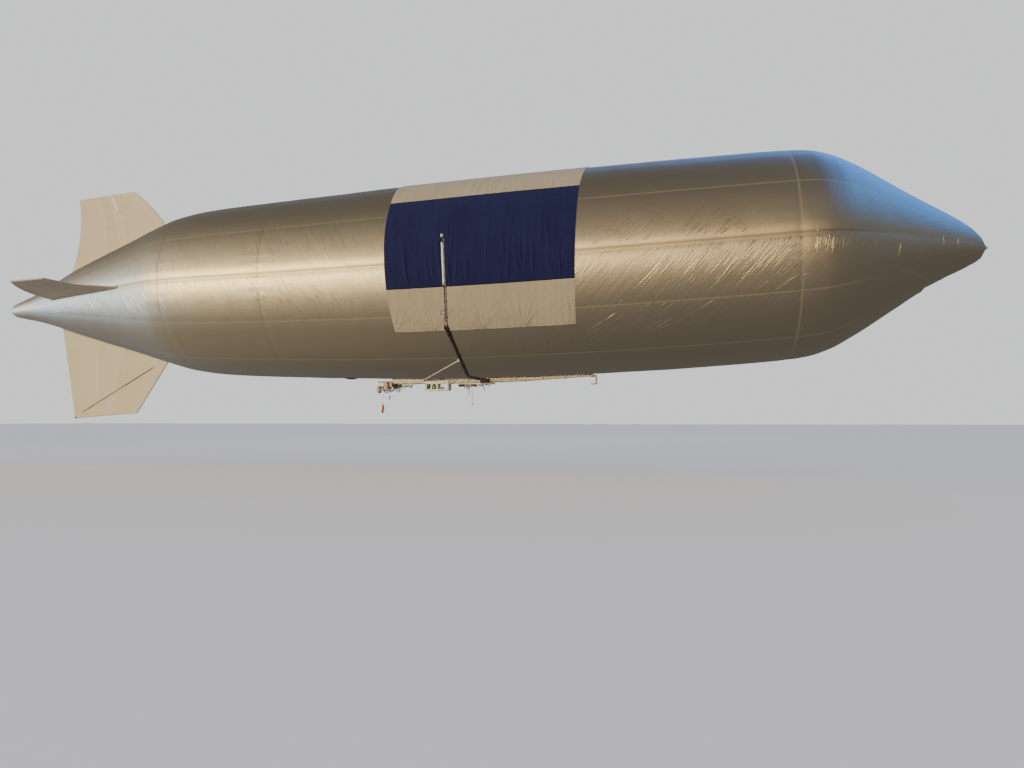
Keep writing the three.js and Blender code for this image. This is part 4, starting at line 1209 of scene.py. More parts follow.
# Avionics: an open tray of two rails under the keel with posts, boards and boxes between them.
tray = {
    "railZ": -3.052,
    "railY": 0.085,
    "posts": [(-0.955, 0.012, 2), (-0.820, 0.018, 1), (-0.630, 0.018, 1), (-1.075, 0.012, 2)],
    "boxes": [  # rear x, front x, half width, foot z, top z, edge, finish, place across
        (-1.092, -0.985, 0.100, -3.104, -2.975, 0.010, 0, 0.0),
        (-0.928, -0.860, 0.060, -3.040, -2.990, 0.006, 0, -0.02),
        (-0.790, -0.700, 0.070, -3.046, -3.006, 0.005, 3, 0.0),
        (-0.688, -0.656, 0.050, -3.046, -2.990, 0.004, 2, -0.03),
        (-0.602, -0.540, 0.045, -2.990, -2.962, 0.004, 1, -0.05),
    ],
}
parts = newParts()
for y in (-tray["railY"], tray["railY"]):
    addRod(parts, (-1.105, y, tray["railZ"]), (-0.592, y, tray["railZ"]), 0.0085, 0, 10)
    for x, radius, finish in tray["posts"]:
        addRod(parts, (x, y, tray["railZ"] - 0.045), (x, y, keelFoot(x) + 0.004), radius, finish, 12)
        addRod(parts, (x, y - 0.014, tray["railZ"]), (x, y + 0.014, tray["railZ"]), radius * 0.6, 4, 8)
for x in (-1.04, -0.955, -0.820, -0.63):
    addRod(parts, (x, -tray["railY"], tray["railZ"]), (x, tray["railY"], tray["railZ"]), 0.006, 0, 8)
for x0, x1, half, z0, z1, edge, finish, y in tray["boxes"]:
    addBox(parts, (x0, y - half, z0), (x1, y + half, z1), finish, edge)
    for cx in (x0 + 0.012, x1 - 0.012):
        for cy in (y - half + 0.012, y + half - 0.012):
            addRod(parts, (cx, cy, z0 - 0.003), (cx, cy, z0 + 0.002), 0.0045, 4, 6, 0.001)
# Cooling fins along the black box.
for k in range(9):
    x = -1.084 + k * 0.0112
    addBox(parts, (x, -0.107, -3.090), (x + 0.004, -0.098, -2.990), 0, 0.001)
closePiece("avionicsTray", parts, [blackNylon, whitePaint, greySheath, creamPaint, zincSteel], 40,
           ["avionics_tray"])

# Loom: cables tied in short scallops along the gear. Columns: points, radius, finish.
looms = [
    ([(-1.41, -0.05, -3.13), (-1.36, -0.10, -3.185), (-1.30, -0.115, -3.175), (-1.26, -0.08, -3.10),
      (-1.20, -0.10, -3.150), (-1.13, -0.11, -3.125), (-1.09, -0.09, -3.06)], 0.008, 0),
    ([(-1.43, 0.03, -3.12), (-1.37, -0.02, -3.200), (-1.30, -0.05, -3.215), (-1.22, -0.06, -3.180),
      (-1.15, -0.08, -3.195), (-1.10, -0.07, -3.13), (-1.06, -0.05, -3.09)], 0.010, 0),
    ([(-1.40, 0.06, -3.12), (-1.34, 0.05, -3.170), (-1.26, 0.04, -3.150), (-1.18, 0.05, -3.165),
      (-1.10, 0.04, -3.10)], 0.007, 0),
    ([(-1.24, -0.09, -3.08), (-1.21, -0.12, -3.12), (-1.17, -0.12, -3.16), (-1.12, -0.11, -3.150),
      (-1.08, -0.10, -3.10)], 0.006, 1),
    ([(-1.06, -0.09, -3.10), (-1.03, -0.11, -3.150), (-0.985, -0.11, -3.185), (-0.94, -0.10, -3.150),
      (-0.91, -0.09, -3.06)], 0.006, 1),
    ([(-1.07, -0.02, -3.10), (-1.02, -0.06, -3.175), (-0.96, -0.08, -3.205), (-0.90, -0.07, -3.170),
      (-0.87, -0.05, -3.06)], 0.008, 2),
    ([(-1.05, 0.05, -3.10), (-1.00, 0.03, -3.14), (-0.95, 0.02, -3.120), (-0.90, 0.03, -3.150),
      (-0.86, 0.04, -3.05)], 0.006, 1),
    ([(-0.98, -0.08, -3.03), (-0.90, -0.085, -3.062), (-0.80, -0.088, -3.064), (-0.70, -0.085, -3.062),
      (-0.60, -0.07, -3.05), (-0.53, -0.05, -3.02), (-0.50, -0.05, -2.975)], 0.006, 1),
    ([(-0.55, -0.05, -2.985), (-0.44, -0.09, -2.998), (-0.34, -0.105, -2.985), (-0.24, -0.108, -2.992)],
     0.005, 0),
]
parts = newParts()
for points, radius, finish in looms:
    addTube(parts, curved(points, 7), radius, finish, 8)
loomTies = {"seed": 7, "count": 26, "among": 7, "half": 0.006, "thick": 0.0025}
chance = random.Random(loomTies["seed"])
for k in range(loomTies["count"]):
    row = looms[chance.randrange(loomTies["among"])]
    path = curved(row[0], 7)
    at = chance.randrange(3, len(path) - 3)
    heading = (path[at + 1] - path[at]).normalized() * loomTies["half"]
    addTube(parts, [path[at] - heading, path[at] + heading], row[1] + loomTies["thick"],
            chance.choice([3, 3, 4, 1]), 8)
# Connectors at the loom's ends.
for x, y, z, finish in ((-1.43, -0.03, -3.145, 4), (-1.41, 0.05, -3.135, 4), (-1.235, -0.09, -3.10, 3),
                        (-1.02, -0.10, -3.165, 3), (-0.93, -0.09, -3.165, 0), (-0.99, -0.07, -3.212, 3)):
    addBlock(parts, (x, y, z), (0.018, 0.012, 0.014), finish, 0.003,
             Matrix.Rotation(chance.uniform(-0.7, 0.7), 3, "Y"))
closePiece("gearLoom", parts, [blackNylon, greySheath, lacingCord, whitePaint, orangeSleeve], 45)
print("tail gear rigged")

# Keel dressing: bolts, strips, clips, the front bracket's foot and the wrapped root of the outrigger.
parts = newParts()
boltX = (-1.05, -0.93, -0.63, -0.42, -0.22, 0.24, 0.48, 0.62, 0.86, 1.22, 1.86, 2.12, 2.30, 2.50, 2.86,
         3.10, 3.40, 3.86, 4.05, 4.30)
for x in boltX:
    for side in (-1, 1):
        z = keelTop - 0.042 if keelTop - keelFoot(x) > 0.07 else keelTop - 0.022
        addRod(parts, (x, side * 0.098, z), (x, side * 0.1055, z), 0.0085, 1, 6, 0.0015)
        addTube(parts, [(x, side * 0.0995, z), (x, side * 0.1012, z)], 0.0135, 1, 14)
for x0, x1, y, z, thick, finish in (
        (-0.63, -0.18, -0.092, keelTop + 0.012, 0.007, 2), (-0.98, -0.66, -0.088, keelTop + 0.010, 0.006, 2),
        (0.60, 0.72, -0.104, -2.955, 0.010, 0), (2.28, 2.433, -0.103, -2.950, 0.007, 0),
        (-1.12, -0.85, 0.09, keelTop + 0.010, 0.006, 2)):
    addBox(parts, (x0, y - thick, z - thick), (x1, y + thick, z + thick), finish, 0.002)
for x, z in ((0.586, -2.926), (0.657, -2.977), (2.28, -2.950), (2.433, -2.950), (1.10, -2.93), (3.16, -2.93)):
    addBlock(parts, (x, -0.106, z), (0.018, 0.007, 0.016), 3, 0.004)
    addRod(parts, (x, -0.122, z), (x, -0.112, z), 0.007, 1, 6, 0.001)
# The front bracket and its foot. Columns: x from and to, half width, z from and to, finish.
for x0, x1, half, z0, z1, finish in (
        (3.700, 3.755, 0.112, -2.965, -2.880, 0), (4.556, 4.600, 0.070, -3.140, -2.885, 0),
        (4.430, 4.600, 0.070, -3.140, -3.108, 0), (4.470, 4.560, 0.070, -2.935, -2.890, 3)):
    addBox(parts, (x0, -half, z0), (x1, half, z1), finish, 0.008)
for y in (-0.112, 0.112):
    addRod(parts, (3.7275, y * 1.12, -2.925), (3.7275, y, -2.925), 0.010, 1, 6, 0.002)
# Brown wrap where the outrigger's root is clamped to the keel; its dark brown also paints the shade under the
# arm's root.
wrap = [(1.43, 0.046), (1.45, 0.052), (1.50, 0.055), (1.56, 0.052), (1.62, 0.055), (1.665, 0.052),
        (1.685, 0.046)]
addTube(parts, [(x, -0.118, -2.967 - 0.003 * math.sin(x * 30)) for x, _ in wrap], [r for _, r in wrap], 4, 16)
for k in range(8):
    x = 1.445 + k * 0.031
    loop = [Vector((x + 0.004 * math.sin(a * 2), -0.118 + 0.057 * math.cos(a), -2.967 + 0.057 * math.sin(a)))
            for a in circle(18)]
    addTube(parts, loop, 0.0035, 4, 6, closed=True)
closePiece("keelFittings", parts, [creamPaint, zincSteel, whitePaint, blackNylon, brownWrap])

# The narrow gap between keel and belly: a dark sheet that paints the shade in the gap, crossed by lacing and
# short coloured ties.
parts = newParts()
gap = {"rear": -1.13, "front": 4.50, "y": 0.094, "proud": 0.104, "ties": 74, "steps": 120, "laces": 90}
gapLength = gap["front"] - gap["rear"]
for side in (-1, 1):
    # Each side's dark sheet is painted shade, set across the gap.
    points = []
    for i in range(gap["steps"] + 1):
        x = gap["rear"] + gapLength * i / gap["steps"]
        belly = bellyAt(x, gap["y"]) - 0.014
        for share in (0.0, 0.5, 1.0):
            points.append((x, side * (gap["y"] - 0.010 * math.sin(math.pi * share)),
                           keelTop + 0.002 + (belly - keelTop) * share))
    addFaces(parts, points, gridFaces(gap["steps"], 2, side < 0), 0)
    lace = []
    for i in range(gap["laces"] + 1):
        x = gap["rear"] + gapLength * i / gap["laces"]
        lace.append((x, side * gap["proud"], bellyAt(x, gap["y"]) - 0.020 if i % 2 else keelTop + 0.008))
    addTube(parts, lace, 0.0030, 3, 6)
    chance = random.Random(13 + side)
    for i in range(gap["ties"]):
        x = gap["rear"] + 0.05 + (gapLength - 0.1) * (i + chance.uniform(-0.3, 0.3)) / gap["ties"]
        top = bellyAt(x, gap["y"]) - 0.018
        z = keelTop + chance.uniform(0.25, 0.75) * (top - keelTop)
        reach = chance.uniform(0.012, 0.040)
        tall = min(0.010, (top - keelTop) * 0.3)
        finish = chance.choice([1, 2, 2, 1, 3])
        tilt = Matrix.Rotation(chance.uniform(-0.2, 0.2), 3, "Y")
        addBlock(parts, (x, side * gap["proud"], z), (reach, 0.004, tall), finish, 0.002, tilt)
# A bright strip of doubled cloth covers the gap over the gear, edged with a red-brown line.
strip = {"rear": -1.13, "front": -0.18, "steps": 30, "y": 0.1045, "drop": 0.030}
for side in (-1, 1):
    foot, middle, head = [], [], []
    for i in range(strip["steps"] + 1):
        x = strip["rear"] + (strip["front"] - strip["rear"]) * i / strip["steps"]
        low, top = keelTop - strip["drop"], bellyAt(x, 0.104) - 0.016
        foot.append(Vector((x, side * strip["y"], low)))
        middle.append(Vector((x, side * (0.112 + 0.003 * math.sin(x * 31)), (low + top) / 2)))
        head.append(Vector((x, side * strip["y"], top)))
    for lower, upper in ((foot, middle), (middle, head)):
        addFaces(parts, lower + upper, gridFaces(1, strip["steps"], side > 0), 4)
    addTube(parts, foot, 0.004, 4, 6)
    addTube(parts, [p + Vector((0, side * 0.003, 0.002)) for p in head], 0.0055, 5, 6)
closePiece("keelLacing", parts, [gapShadeSheet, lacingCord, blueTie, blackNylon, whitePaint, rustTape], 60)
print("keel dressed")

# What the crate carries: an instrument box with its lens, a small radio and their leads.
crate = {
    "rear": -0.150, "front": 0.525, "middle": 0.1875,
    "strips": (   # x from and to, z from and to
        (-0.150, 0.525, -2.978, -2.925), (-0.150, 0.525, -3.196, -3.150), (-0.150, -0.106, -3.16, -2.97),
        (0.166, 0.209, -3.16, -2.97), (0.481, 0.525, -3.16, -2.97)),
}
parts = newParts()
addBox(parts, (-0.108, -0.085, -3.120), (-0.060, 0.085, -3.004), 2, 0.006)
addBox(parts, (0.020, -0.095, -3.156), (0.155, 0.095, -3.052), 0, 0.008)
addBox(parts, (0.042, -0.060, -3.056), (0.130, 0.060, -3.012), 1, 0.006)
addBand(parts, Vector((0.085, 0, -3.10)), Vector((0, -1, 0)),
        ((0.092, 0.034), (0.104, 0.034), (0.114, 0.031), (0.116, 0.022)), 0, 24)
addBand(parts, Vector((0.085, 0, -3.10)), Vector((0, -1, 0)), ((0.1165, 0.020), (0.118, 0.016)), 4, 20)
addBox(parts, (0.220, 0.020, -3.156), (0.470, 0.090, -3.130), 3, 0.004)
addBox(parts, (0.260, 0.025, -3.132), (0.330, 0.085, -3.092), 0, 0.006)
for points, radius, finish in (
        ([(-0.085, -0.04, -3.02), (-0.03, -0.07, -3.000), (0.04, -0.07, -3.006), (0.11, -0.05, -3.030),
          (0.14, -0.05, -3.080)], 0.005, 2),
        ([(0.15, 0.02, -3.10), (0.17, 0.03, -3.140), (0.22, 0.05, -3.120), (0.27, 0.055, -3.100)], 0.005, 0),
        ([(0.05, 0.05, -3.02), (0.11, 0.07, -2.996), (0.19, 0.08, -3.006), (0.29, 0.06, -3.05),
          (0.31, 0.055, -3.09)], 0.004, 1)):
    addTube(parts, curved(points, 6), radius, finish, 8)
for x in (crate["rear"] + 0.015, crate["middle"], crate["front"] - 0.015):
    for z in (-3.173, -2.966):
        for side in (-1, 1):
            addRod(parts, (x, side * 0.134, z), (x, side * 0.1395, z), 0.0065, 5, 6, 0.001)
# White cover strips on both faces of the frame, wrapped up over the keel's edge.
for side in (-1, 1):
    low, high = sorted((side * 0.1335, side * 0.1450))
    for x0, x1, z0, z1 in crate["strips"]:
        addBox(parts, (x0, low, z0), (x1, high, z1), 6, 0.003)
closePiece("crateInstruments", parts,
           [blackNylon, tanTape, greySheath, creamPaint, gelCoat, zincSteel, whitePaint])

# Payload under the keel's middle: a board of small boxes on posts, brackets, a camera and its leads.
payload = {
    "boardZ": -3.058,
    "boxes": [  # rear x, front x, across from, across to, foot z, top z, edge, finish
        (0.785, 0.950, -0.085, 0.070, -3.100, -3.026, 0.010, 0),
        (0.965, 1.030, -0.110, -0.010, -3.092, -3.030, 0.006, 2),
        (1.042, 1.085, -0.100, 0.040, -3.078, -3.030, 0.005, 3),
        (1.150, 1.285, -0.115, 0.060, -3.100, -3.046, 0.008, 4),
        (0.985, 1.075, 0.020, 0.100, -3.115, -3.050, 0.008, 0),
        (1.120, 1.145, -0.060, 0.020, -3.110, -3.020, 0.004, 1),
    ],
}
parts = newParts()
boardZ = payload["boardZ"]
addBox(parts, (0.765, -0.118, boardZ + 0.012), (1.288, 0.118, boardZ + 0.020), 3, 0.002)
for x in (0.80, 1.00, 1.25):
    for y in (-0.098, 0.098):
        addRod(parts, (x, y, boardZ - 0.012), (x, y, keelFoot(x) + 0.003), 0.007, 5, 8)
        addRod(parts, (x, y, boardZ - 0.016), (x, y, boardZ - 0.006), 0.011, 5, 6, 0.001)
for x0, x1, y0, y1, z0, z1, edge, finish in payload["boxes"]:
    addBox(parts, (x0, y0, z0), (x1, y1, z1), finish, edge)
for k in range(7):
    x = 0.800 + k * 0.021
    addBox(parts, (x, -0.089, -3.094), (x + 0.008, -0.082, -3.034), 0, 0.001)
# Downward camera in a collar.
addBand(parts, Vector((1.03, 0.06, 0)), Vector((0, 0, -1)),
        ((3.10, 0.030), (3.118, 0.030), (3.119, 0.022)), 0, 24)
closePiece("payloadTray", parts, [blackNylon, whitePaint, greySheath, canvas, tanTape, zincSteel],
           nodes=["payload_box"])

# Centre saddle: the moulding that carries the outrigger's foot, with its curved white hoops and clamp.
saddle = {"rear": 1.410, "front": 1.790, "top": -3.012, "half": 0.130}
parts = newParts()
addBox(parts, (saddle["rear"], -saddle["half"], -3.040), (saddle["front"], saddle["half"], -3.018), 0, 0.006)
for x in (1.43, 1.60, 1.77):
    addBox(parts, (x - 0.012, -0.118, -3.058), (x + 0.012, 0.118, -3.036), 0, 0.005)
for y in (-0.112, 0.112):
    hoop = [(1.30, y, -3.036), (1.335, y, -3.058), (1.40, y, -3.078), (1.47, y, -3.070), (1.54, y, -3.060),
            (1.60, y, -3.074), (1.655, y, -3.066), (1.685, y, -3.045)]
    addTube(parts, curved(hoop, 5), 0.0105, 1, 12)
    for x in (1.405, 1.60):
        addBox(parts, (x - 0.014, y - 0.018, -3.092), (x + 0.014, y + 0.018, -3.052), 2, 0.004)
for x in (1.45, 1.55, 1.65, 1.75):
    for y in (-0.09, 0.09):
        addRod(parts, (x, y, -3.046), (x, y, -3.036), 0.009, 3, 6, 0.0015)
hook = curved([(1.492, -0.10, -3.050), (1.500, -0.10, -3.095), (1.520, -0.10, -3.150), (1.535, -0.10, -3.195),
               (1.522, -0.10, -3.238)], 6)
addTube(parts, hook, [0.013 - 0.0055 * k / (len(hook) - 1) for k in range(len(hook))], 2, 12)
closePiece("centreSaddle", parts, [creamPaint, whitePaint, blackNylon, zincSteel],
           nodes=["centre_saddle"])

# Payload leads, tied between the boxes, and short tails with white connectors.
payloadLeads = [
    ([(0.80, -0.09, -3.06), (0.86, -0.115, -3.095), (0.93, -0.12, -3.085), (0.98, -0.115, -3.06)], 0.005, 0),
    ([(0.95, -0.10, -3.09), (0.985, -0.12, -3.140), (1.035, -0.12, -3.165), (1.09, -0.11, -3.130),
      (1.13, -0.10, -3.08)], 0.006, 1),
    ([(1.00, -0.06, -3.09), (1.03, -0.08, -3.150), (1.08, -0.09, -3.175), (1.13, -0.08, -3.150),
      (1.17, -0.08, -3.09)], 0.005, 2),
    ([(1.07, -0.10, -3.06), (1.085, -0.12, -3.12), (1.09, -0.12, -3.20), (1.075, -0.12, -3.270)], 0.007, 2),
    ([(1.10, -0.09, -3.07), (1.115, -0.11, -3.15), (1.11, -0.115, -3.24), (1.125, -0.115, -3.320)], 0.007, 2),
    ([(1.20, -0.10, -3.09), (1.26, -0.12, -3.120), (1.33, -0.12, -3.100), (1.41, -0.11, -3.06)], 0.006, 0),
    ([(1.28, -0.08, -3.06), (1.33, -0.10, -3.078), (1.40, -0.11, -3.070)], 0.008, 2),
    ([(1.22, 0.02, -3.09), (1.30, 0.03, -3.125), (1.40, 0.03, -3.09), (1.44, 0.04, -3.045)], 0.006, 0),
]
parts = newParts()
for points, radius, finish in payloadLeads:
    addTube(parts, curved(points, 7), radius, finish, 8)
for x, y, z, finish in ((1.075, -0.12, -3.288, 2), (1.125, -0.115, -3.338, 2), (1.09, -0.11, -3.135, 2),
                        (0.985, -0.12, -3.135, 3), (1.17, -0.085, -3.105, 4), (1.40, -0.112, -3.072, 2)):
    addBlock(parts, (x, y, z), (0.012, 0.010, 0.018), finish, 0.003,
             Matrix.Rotation(0.4 * math.sin(x * 50), 3, "Y"))
closePiece("payloadLoom", parts, [blackNylon, greySheath, lacingCord, orangeSleeve, tanTape], 45)
print("payload fitted")

# Outrigger arm as in the solids: root, elbow and tip in the plane x, and the bend's reach.
arm = {
    "x": 1.625, "radius": 0.036,
    "root": (-0.1003, -2.960), "elbow": (-2.110, -2.966), "tip": (-3.770, -2.030), "bend": 0.190,
    "mastFoot": (-3.815, -1.930), "mastTop": (-4.010, 0.002), "mastRadius": 0.015,
}


def armPoint(y, z, x=0.0):
    return Vector((arm["x"] + x, y, z))


def armPath(steps=60):
    root, elbow, tip = (armPoint(*arm[k]) for k in ("root", "elbow", "tip"))
    inner = elbow + (root - elbow).normalized() * arm["bend"]
    outer = elbow + (tip - elbow).normalized() * arm["bend"]
    path = [root.lerp(inner, k / steps) for k in range(steps)]
    path += [inner.lerp(elbow, t).lerp(elbow.lerp(outer, t), t) for t in [k / 10 for k in range(10)]]
    return path + [outer.lerp(tip, k / steps) for k in range(steps + 1)]


def wound(path, radius, turns, thick, start=0.0, wobble=0.0):
    lengths = [0.0]
    for a, b in zip(path, path[1:]):
        lengths.append(lengths[-1] + (b - a).length)
    count = int(turns * 16)
    coil = []
    for k in range(count + 1):
        at = lengths[-1] * k / count
        i = min(max(int(np.searchsorted(lengths, at)) - 1, 0), len(path) - 2)
        share = (at - lengths[i]) / max(lengths[i + 1] - lengths[i], 1e-9)
        p = path[i].lerp(path[i + 1], share)
        heading = (path[i + 1] - path[i]).normalized()
        across = Vector((1, 0, 0))
        other = heading.cross(across).normalized()
        turn = start + 2 * math.pi * (turns * k / count + wobble * math.sin(9 * k / count))
        coil.append(p + (across * math.cos(turn) + other * math.sin(turn)) * (radius + thick))
    return coil


wholeArm = armPath()
slope = wholeArm[70:]
flat = wholeArm[:60]
parts = newParts()
# Two thin leads wound loosely up the arm, taped down at short steps.
addTube(parts, wound(slope, arm["radius"], 7.5, 0.004, 0.4, 0.5), 0.0060, 0, 8)
addTube(parts, wound(slope, arm["radius"], 4.5, 0.004, 2.0, 0.9), 0.0050, 2, 8)
addTube(parts, wound(flat, arm["radius"], 3.5, 0.004, 1.0, 0.4), 0.0050, 0, 8)
# Tape along the slope. Columns: share of its length, width, rise over the tube, finish.
for share, width, rise, finish in (
        (0.03, 0.05, 0.012, 2), (0.12, 0.030, 0.010, 2), (0.21, 0.045, 0.010, 0), (0.30, 0.03, 0.012, 2),
        (0.40, 0.05, 0.011, 2), (0.47, 0.03, 0.013, 0), (0.55, 0.045, 0.010, 2), (0.64, 0.035, 0.014, 2),
        (0.72, 0.03, 0.010, 2), (0.80, 0.045, 0.012, 0), (0.89, 0.05, 0.016, 2), (0.965, 0.07, 0.020, 0)):
    k = int(share * (len(slope) - 2))
    profile = [(width * at, arm["radius"] + thick) for at, thick in (
        (-0.6, 0.001), (-0.5, rise * 0.85), (0, rise), (0.5, rise * 0.8), (0.6, 0.001))]
    addBand(parts, slope[k], (slope[k + 1] - slope[k]).normalized(), profile, finish, 14)
for y in (-0.35, -0.75, -1.15, -1.55, -1.9):
    z = float(np.interp(y, (arm["elbow"][0], arm["root"][0]), (arm["elbow"][1], arm["root"][1])))
    addBand(parts, armPoint(y, z), Vector((0, 1, 0)),
            ((-0.022, 0.037), (-0.018, 0.046), (0.018, 0.046), (0.022, 0.037)), 2, 14)
# Knot of fittings where arm and mast meet: bolts, taped splice, ring and the loose wire loop.
for dx in (-0.058, 0.058):
    addRod(parts, armPoint(-3.800, -1.985, dx), armPoint(-3.800, -1.985, dx * 0.78), 0.013, 4, 6, 0.002)
addBox(parts, armPoint(-3.860, -2.005, -0.072), armPoint(-3.780, -1.915, -0.040), 0, 0.008)
ring = [armPoint(-3.826, -1.772 + 0.030 * math.sin(a), -0.040 + 0.026 * math.cos(a)) for a in circle(24)]
addTube(parts, ring, 0.0055, 0, 8, closed=True)
for path, steps, radius, finish, around in (
        ([(-3.800, -1.960, -0.025), (-3.842, -1.925, -0.052), (-3.850, -1.870, -0.048),
          (-3.838, -1.842, -0.026)], 6, 0.011, 3, 10),
        ([(-3.822, -1.800, -0.018), (-3.835, -1.812, -0.030), (-3.832, -1.835, -0.034),
          (-3.824, -1.846, -0.018)], 5, 0.0065, 0, 8),
        ([(-3.842, -1.640, -0.020), (-3.850, -1.600, -0.055), (-3.862, -1.585, -0.110),
          (-3.868, -1.612, -0.148), (-3.866, -1.655, -0.130), (-3.856, -1.672, -0.075),
          (-3.840, -1.690, -0.019)], 7, 0.0045, 0, 8)):
    addTube(parts, curved([armPoint(*p) for p in path], steps), radius, finish, around)
closePiece("armWraps", parts, [blackNylon, greySheath, brownWrap, orangeSleeve, zincSteel], 45)

# Mast dressing: clips that hold the feed, a taped lead, the bracket's screws and stub lead.
parts = newParts()
foot, top = armPoint(*arm["mastFoot"]), armPoint(*arm["mastTop"])
along = (top - foot).normalized()
for share in (0.10, 0.19, 0.28, 0.37, 0.44):
    for shift, extra in ((0.0, 0.003), (-0.034, 0.0005)):
        reach = arm["mastRadius"] + extra
        addBand(parts, foot.lerp(top, share) + Vector((shift, 0, 0)), along,
                ((-0.012, reach - 0.003), (-0.009, reach + 0.003), (0.009, reach + 0.003),
                 (0.012, reach - 0.003)), 0, 12)
lead = [foot.lerp(top, k / 40) + Vector((0.012, -0.012 - 0.002 * math.sin(k / 40 * 25), 0))
        for k in range(2, 40)]
addTube(parts, lead, 0.0042, 0, 8)
for share in (0.50, 0.58, 0.74, 0.86, 0.955):
    addBand(parts, foot.lerp(top, share), along,
            ((-0.014, 0.014), (-0.010, 0.0205), (0.010, 0.0205), (0.014, 0.014)), 0, 14)
# Collars and the tip cap of the rod antenna.
for share, reach in ((0.474, 0.026), (0.49, 0.0245), (0.70, 0.0242), (0.948, 0.0248)):
    addBand(parts, foot.lerp(top, share) + Vector((-0.042, 0, 0)), along,
            ((-0.012, 0.0225), (-0.008, reach), (0.008, reach), (0.012, 0.0225)), 1 if share > 0.5 else 3, 20)
stub = [(-4.020, 0.022, -0.045), (-4.030, 0.002, -0.080), (-4.020, -0.038, -0.092), (-4.012, -0.073, -0.065),
        (-4.006, -0.090, -0.022)]
addTube(parts, curved([armPoint(*p) for p in stub], 6), 0.007, 0, 8)
for dx in (-0.060, 0.010):
    for y in (-4.026, -3.996):
        addRod(parts, armPoint(y, 0.036, dx), armPoint(y, 0.0435, dx), 0.0055, 2, 6, 0.001)
closePiece("mastFittings", parts, [blackNylon, gelCoat, zincSteel, greySheath])
print("arm and mast dressed")

# Warning ribbons on the lanyards: doubled, creased and curling at the ends.
# Columns: node, cord, width, length, twist, swing.
ribbons = [("pin_flag", "pin_lanyard", 0.062, 0.250, 0.9, 0.010),
           ("ballast_flag", "ballast_lanyard", 0.048, 0.110, -0.7, 0.006)]
across, down = 8, 40
for node, cordName, width, length, twist, swing in ribbons:
    start = cordPoint(cords[cordName], 1.0) + Vector((0, 0, -0.001))
    points = []
    for i in range(down + 1):
        t = i / down
        pinch = 0.16 + 0.84 * min(1, (t / 0.16)) ** 0.7
        sine, cosine = math.sin(twist * t ** 1.5), math.cos(twist * t ** 1.5)
        centre = start + Vector((swing * math.sin(math.pi * t * 1.4), 0.008 * math.sin(math.pi * t * 2.1),
                                 -length * t))
        for j in range(across + 1):
            u = (j / across - 0.5) * width * pinch
            fold = 0.0045 * math.cos(j * 2.2 + t * 4) * (1.2 - pinch * 0.6)
            points.append(centre + Vector((u * cosine - fold * sine, u * sine + fold * cosine, 0)))
    ribbon = meshPiece(node + "_ribbon", points, gridFaces(down, across), [redRibbon])
    thick = ribbon.modifiers.new("thick", "SOLIDIFY")
    thick.thickness = 0.0012
    joinPiece(ribbon, [node])

# A lanyard is tied through its ribbon's eyelet; a lead ends in its plug.
cordEnds = {"sensor_lead": "sensor_plug", "test_lead": "test_plug"}
for name, (piece, start, length) in cordPieces.items():
    thickness = cords[name][4]
    if name not in cordEnds:
        end = cordPoint(cords[name], 1.0)
        knot = newParts()
        for turn, shift in ((0.3, 0.0), (1.4, 0.005), (2.5, -0.004)):
            loop = [end + Vector((0.007 * math.cos(a) * math.cos(turn), 0.007 * math.cos(a) * math.sin(turn),
                                  0.005 * math.sin(a) + shift)) for a in circle(14)]
            addTube(knot, loop, thickness / 2, 0, 8, closed=True)
        closePiece(name + "_knot", knot, [nylonCord])
print("ribbons hung")

# Stage: plain pale floor, level as the craft floated over it, pale air and soft lights.
stage = {
    "floorZ": -5.37,
    "size": 300,
    "tilt": 1.09,      # the hull floats nose up by this much
    "floorHex": "#dcd8d0",
    "floorGlow": 0.50,
    "backHex": "#e2e3e3",
    "backGlow": 1.25,
}
floorMesh = bpy.data.meshes.new("floor")
half = stage["size"] / 2
floorMesh.from_pydata([(x * half, y * half, 0) for x, y in ((-1, -1), (1, -1), (1, 1), (-1, 1))],
                      [], [(0, 1, 2, 3)])
floorFinish, tree, surface = newMaterial("paleFloor", stage["floorHex"], 1.0, 0.0, **{
    "Specular IOR Level": 0.0, "Emission Color": stage["floorHex"], "Emission Strength": stage["floorGlow"]})
floorMesh.materials.append(floorFinish)
floor = bpy.data.objects.new("floor", floorMesh)
floor.location = (0, 0, stage["floorZ"])
floor.rotation_euler = (0, math.radians(stage["tilt"]), 0)
bpy.context.scene.collection.objects.link(floor)
# The film mirrors the soft light below it, not this floor, which is far paler.
floor.visible_glossy = False
floor.visible_diffuse = False

# The light round it is a few soft lobes: a low warm bank along the side, a cool one at the tail and a
# blue one high beyond. Columns: azimuth from starboard towards the nose, elevation, half widths of
# both in degrees, colour, radiance.
softLight = {
    "base": "#6e6c6b",
    "lobes": [
        (-40, 5.5, 20, 5.5, "#ffe9ac", 15.5),
        (-8, 4.5, 20, 5.5, "#ffd7a2", 7.0),
        (-58, 10, 42, 28, "#fff1da", 0.85),
        (-10, 0, 55, 60, "#ffe9d2", 0.14),
        (-84, 2.0, 18, 13, "#8ec4ff", 4.4),
        (-112, -24, 28, 16, "#a9c6f0", 0.24),
        (-85, -48, 40, 22, "#ffe0a8", 0.17),
        (90, 13, 26, 12, "#b4d2ff", 0.20),
        (130, 42, 38, 13, "#1e86ff", 2.3),
        (88, 38, 24, 12, "#3f9eff", 0.80),
        (165, 31, 34, 14, "#4aa0ff", 1.35),
    ],
}
world = bpy.data.worlds.new("air")
bpy.context.scene.world = world
world.use_nodes = True
tree = world.node_tree
tree.nodes.clear()
place = addNode(tree, "TexCoord")
split = addNode(tree, "SeparateXYZ", {"Vector": place.outputs["Generated"]})
ahead = addNode(tree, "Math", {0: split.outputs["Y"], 1: -1.0}, operation="MULTIPLY")
azimuth = addNode(tree, "Math", {0: split.outputs["X"], 1: ahead}, operation="ARCTAN2")
elevation = addNode(tree, "Math", {0: split.outputs["Z"]}, operation="ARCSINE")
total = addNode(tree, "RGB")
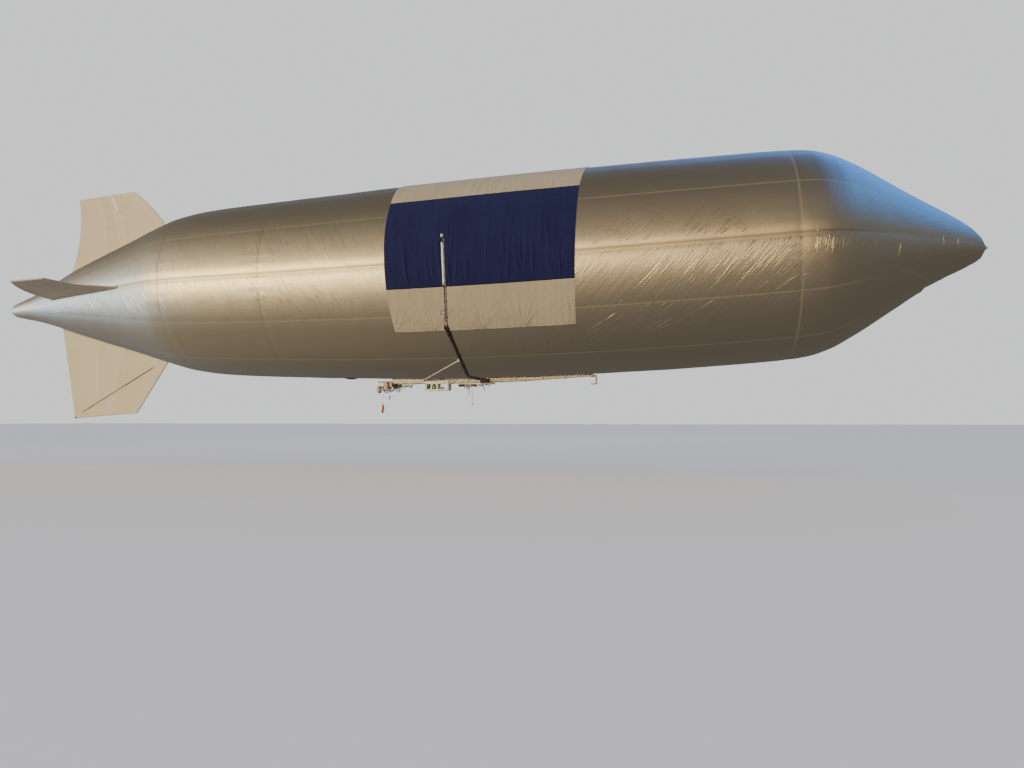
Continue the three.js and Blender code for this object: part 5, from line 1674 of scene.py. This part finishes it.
total.outputs[0].default_value = hexColour(softLight["base"])
for azimuthAt, elevationAt, wide, tall, tone, strength in softLight["lobes"]:
    off = addNode(tree, "Math", {0: azimuth, 1: math.radians(azimuthAt)}, operation="SUBTRACT")
    wrapped = addNode(tree, "Math", {0: off, 1: math.pi, 2: -math.pi}, operation="WRAP")
    across = addNode(tree, "Math", {0: wrapped, 1: math.radians(wide)}, operation="DIVIDE")
    risen = addNode(tree, "Math", {0: elevation, 1: math.radians(elevationAt)}, operation="SUBTRACT")
    above = addNode(tree, "Math", {0: risen, 1: math.radians(tall)}, operation="DIVIDE")
    square = addNode(tree, "Math", {0: above, 1: above}, operation="MULTIPLY")
    squares = addNode(tree, "Math", {0: across, 1: across, 2: square}, operation="MULTIPLY_ADD")
    minus = addNode(tree, "Math", {0: squares, 1: -1.0}, operation="MULTIPLY")
    bell = addNode(tree, "Math", {0: minus}, operation="EXPONENT")
    bright = addNode(tree, "Math", {0: bell, 1: strength}, operation="MULTIPLY")
    lobe = addNode(tree, "VectorMath", {0: hexColour(tone)[:3], "Scale": bright}, operation="SCALE")
    total = addNode(tree, "VectorMath", {0: total, 1: lobe}, operation="ADD")
air = addNode(tree, "Background", {"Color": total, "Strength": 1.0})
seen = addNode(tree, "Background", {"Color": stage["backHex"], "Strength": stage["backGlow"]})
path = addNode(tree, "LightPath")
choice = addNode(tree, "MixShader", {"Fac": path.outputs["Is Camera Ray"], 1: air, 2: seen})
addNode(tree, "OutputWorld", {"Surface": choice})

# Lamps, which the film doesn't mirror. Columns: name, place, aim, width, height, colour, radiance.
lights = [
    ("roofSoft", (0.0, 0.0, 26.0), (0, 0, 0), 60.0, 40.0, "#fff6ea", 0.46),
    ("sideFill", (2.0, -34.0, 3.0), (0, 0, -1), 40.0, 10.0, "#ffe9cc", 1.2),
    ("portFill", (0.0, 34.0, 6.0), (0, 0, -1), 40.0, 10.0, "#fff1de", 1.0),
]
for name, place, aim, width, height, tone, strength in lights:
    data = bpy.data.lights.new(name, "AREA")
    data.shape = "RECTANGLE"
    data.size, data.size_y = width, height
    data.color = hexColour(tone)[:3]
    data.energy = strength * width * height
    lamp = bpy.data.objects.new(name, data)
    lamp.location = place
    lamp.rotation_euler = (Vector(aim) - Vector(place)).to_track_quat("-Z", "Y").to_euler()
    lamp.visible_camera = False
    lamp.visible_glossy = False
    bpy.context.scene.collection.objects.link(lamp)
print("stage lit")

# The film scatters too much to hold a clear mirror image of the gear and fins beside it.
for piece in bpy.data.objects:
    if piece.type == "MESH" and piece is not envelope:
        piece.visible_glossy = False
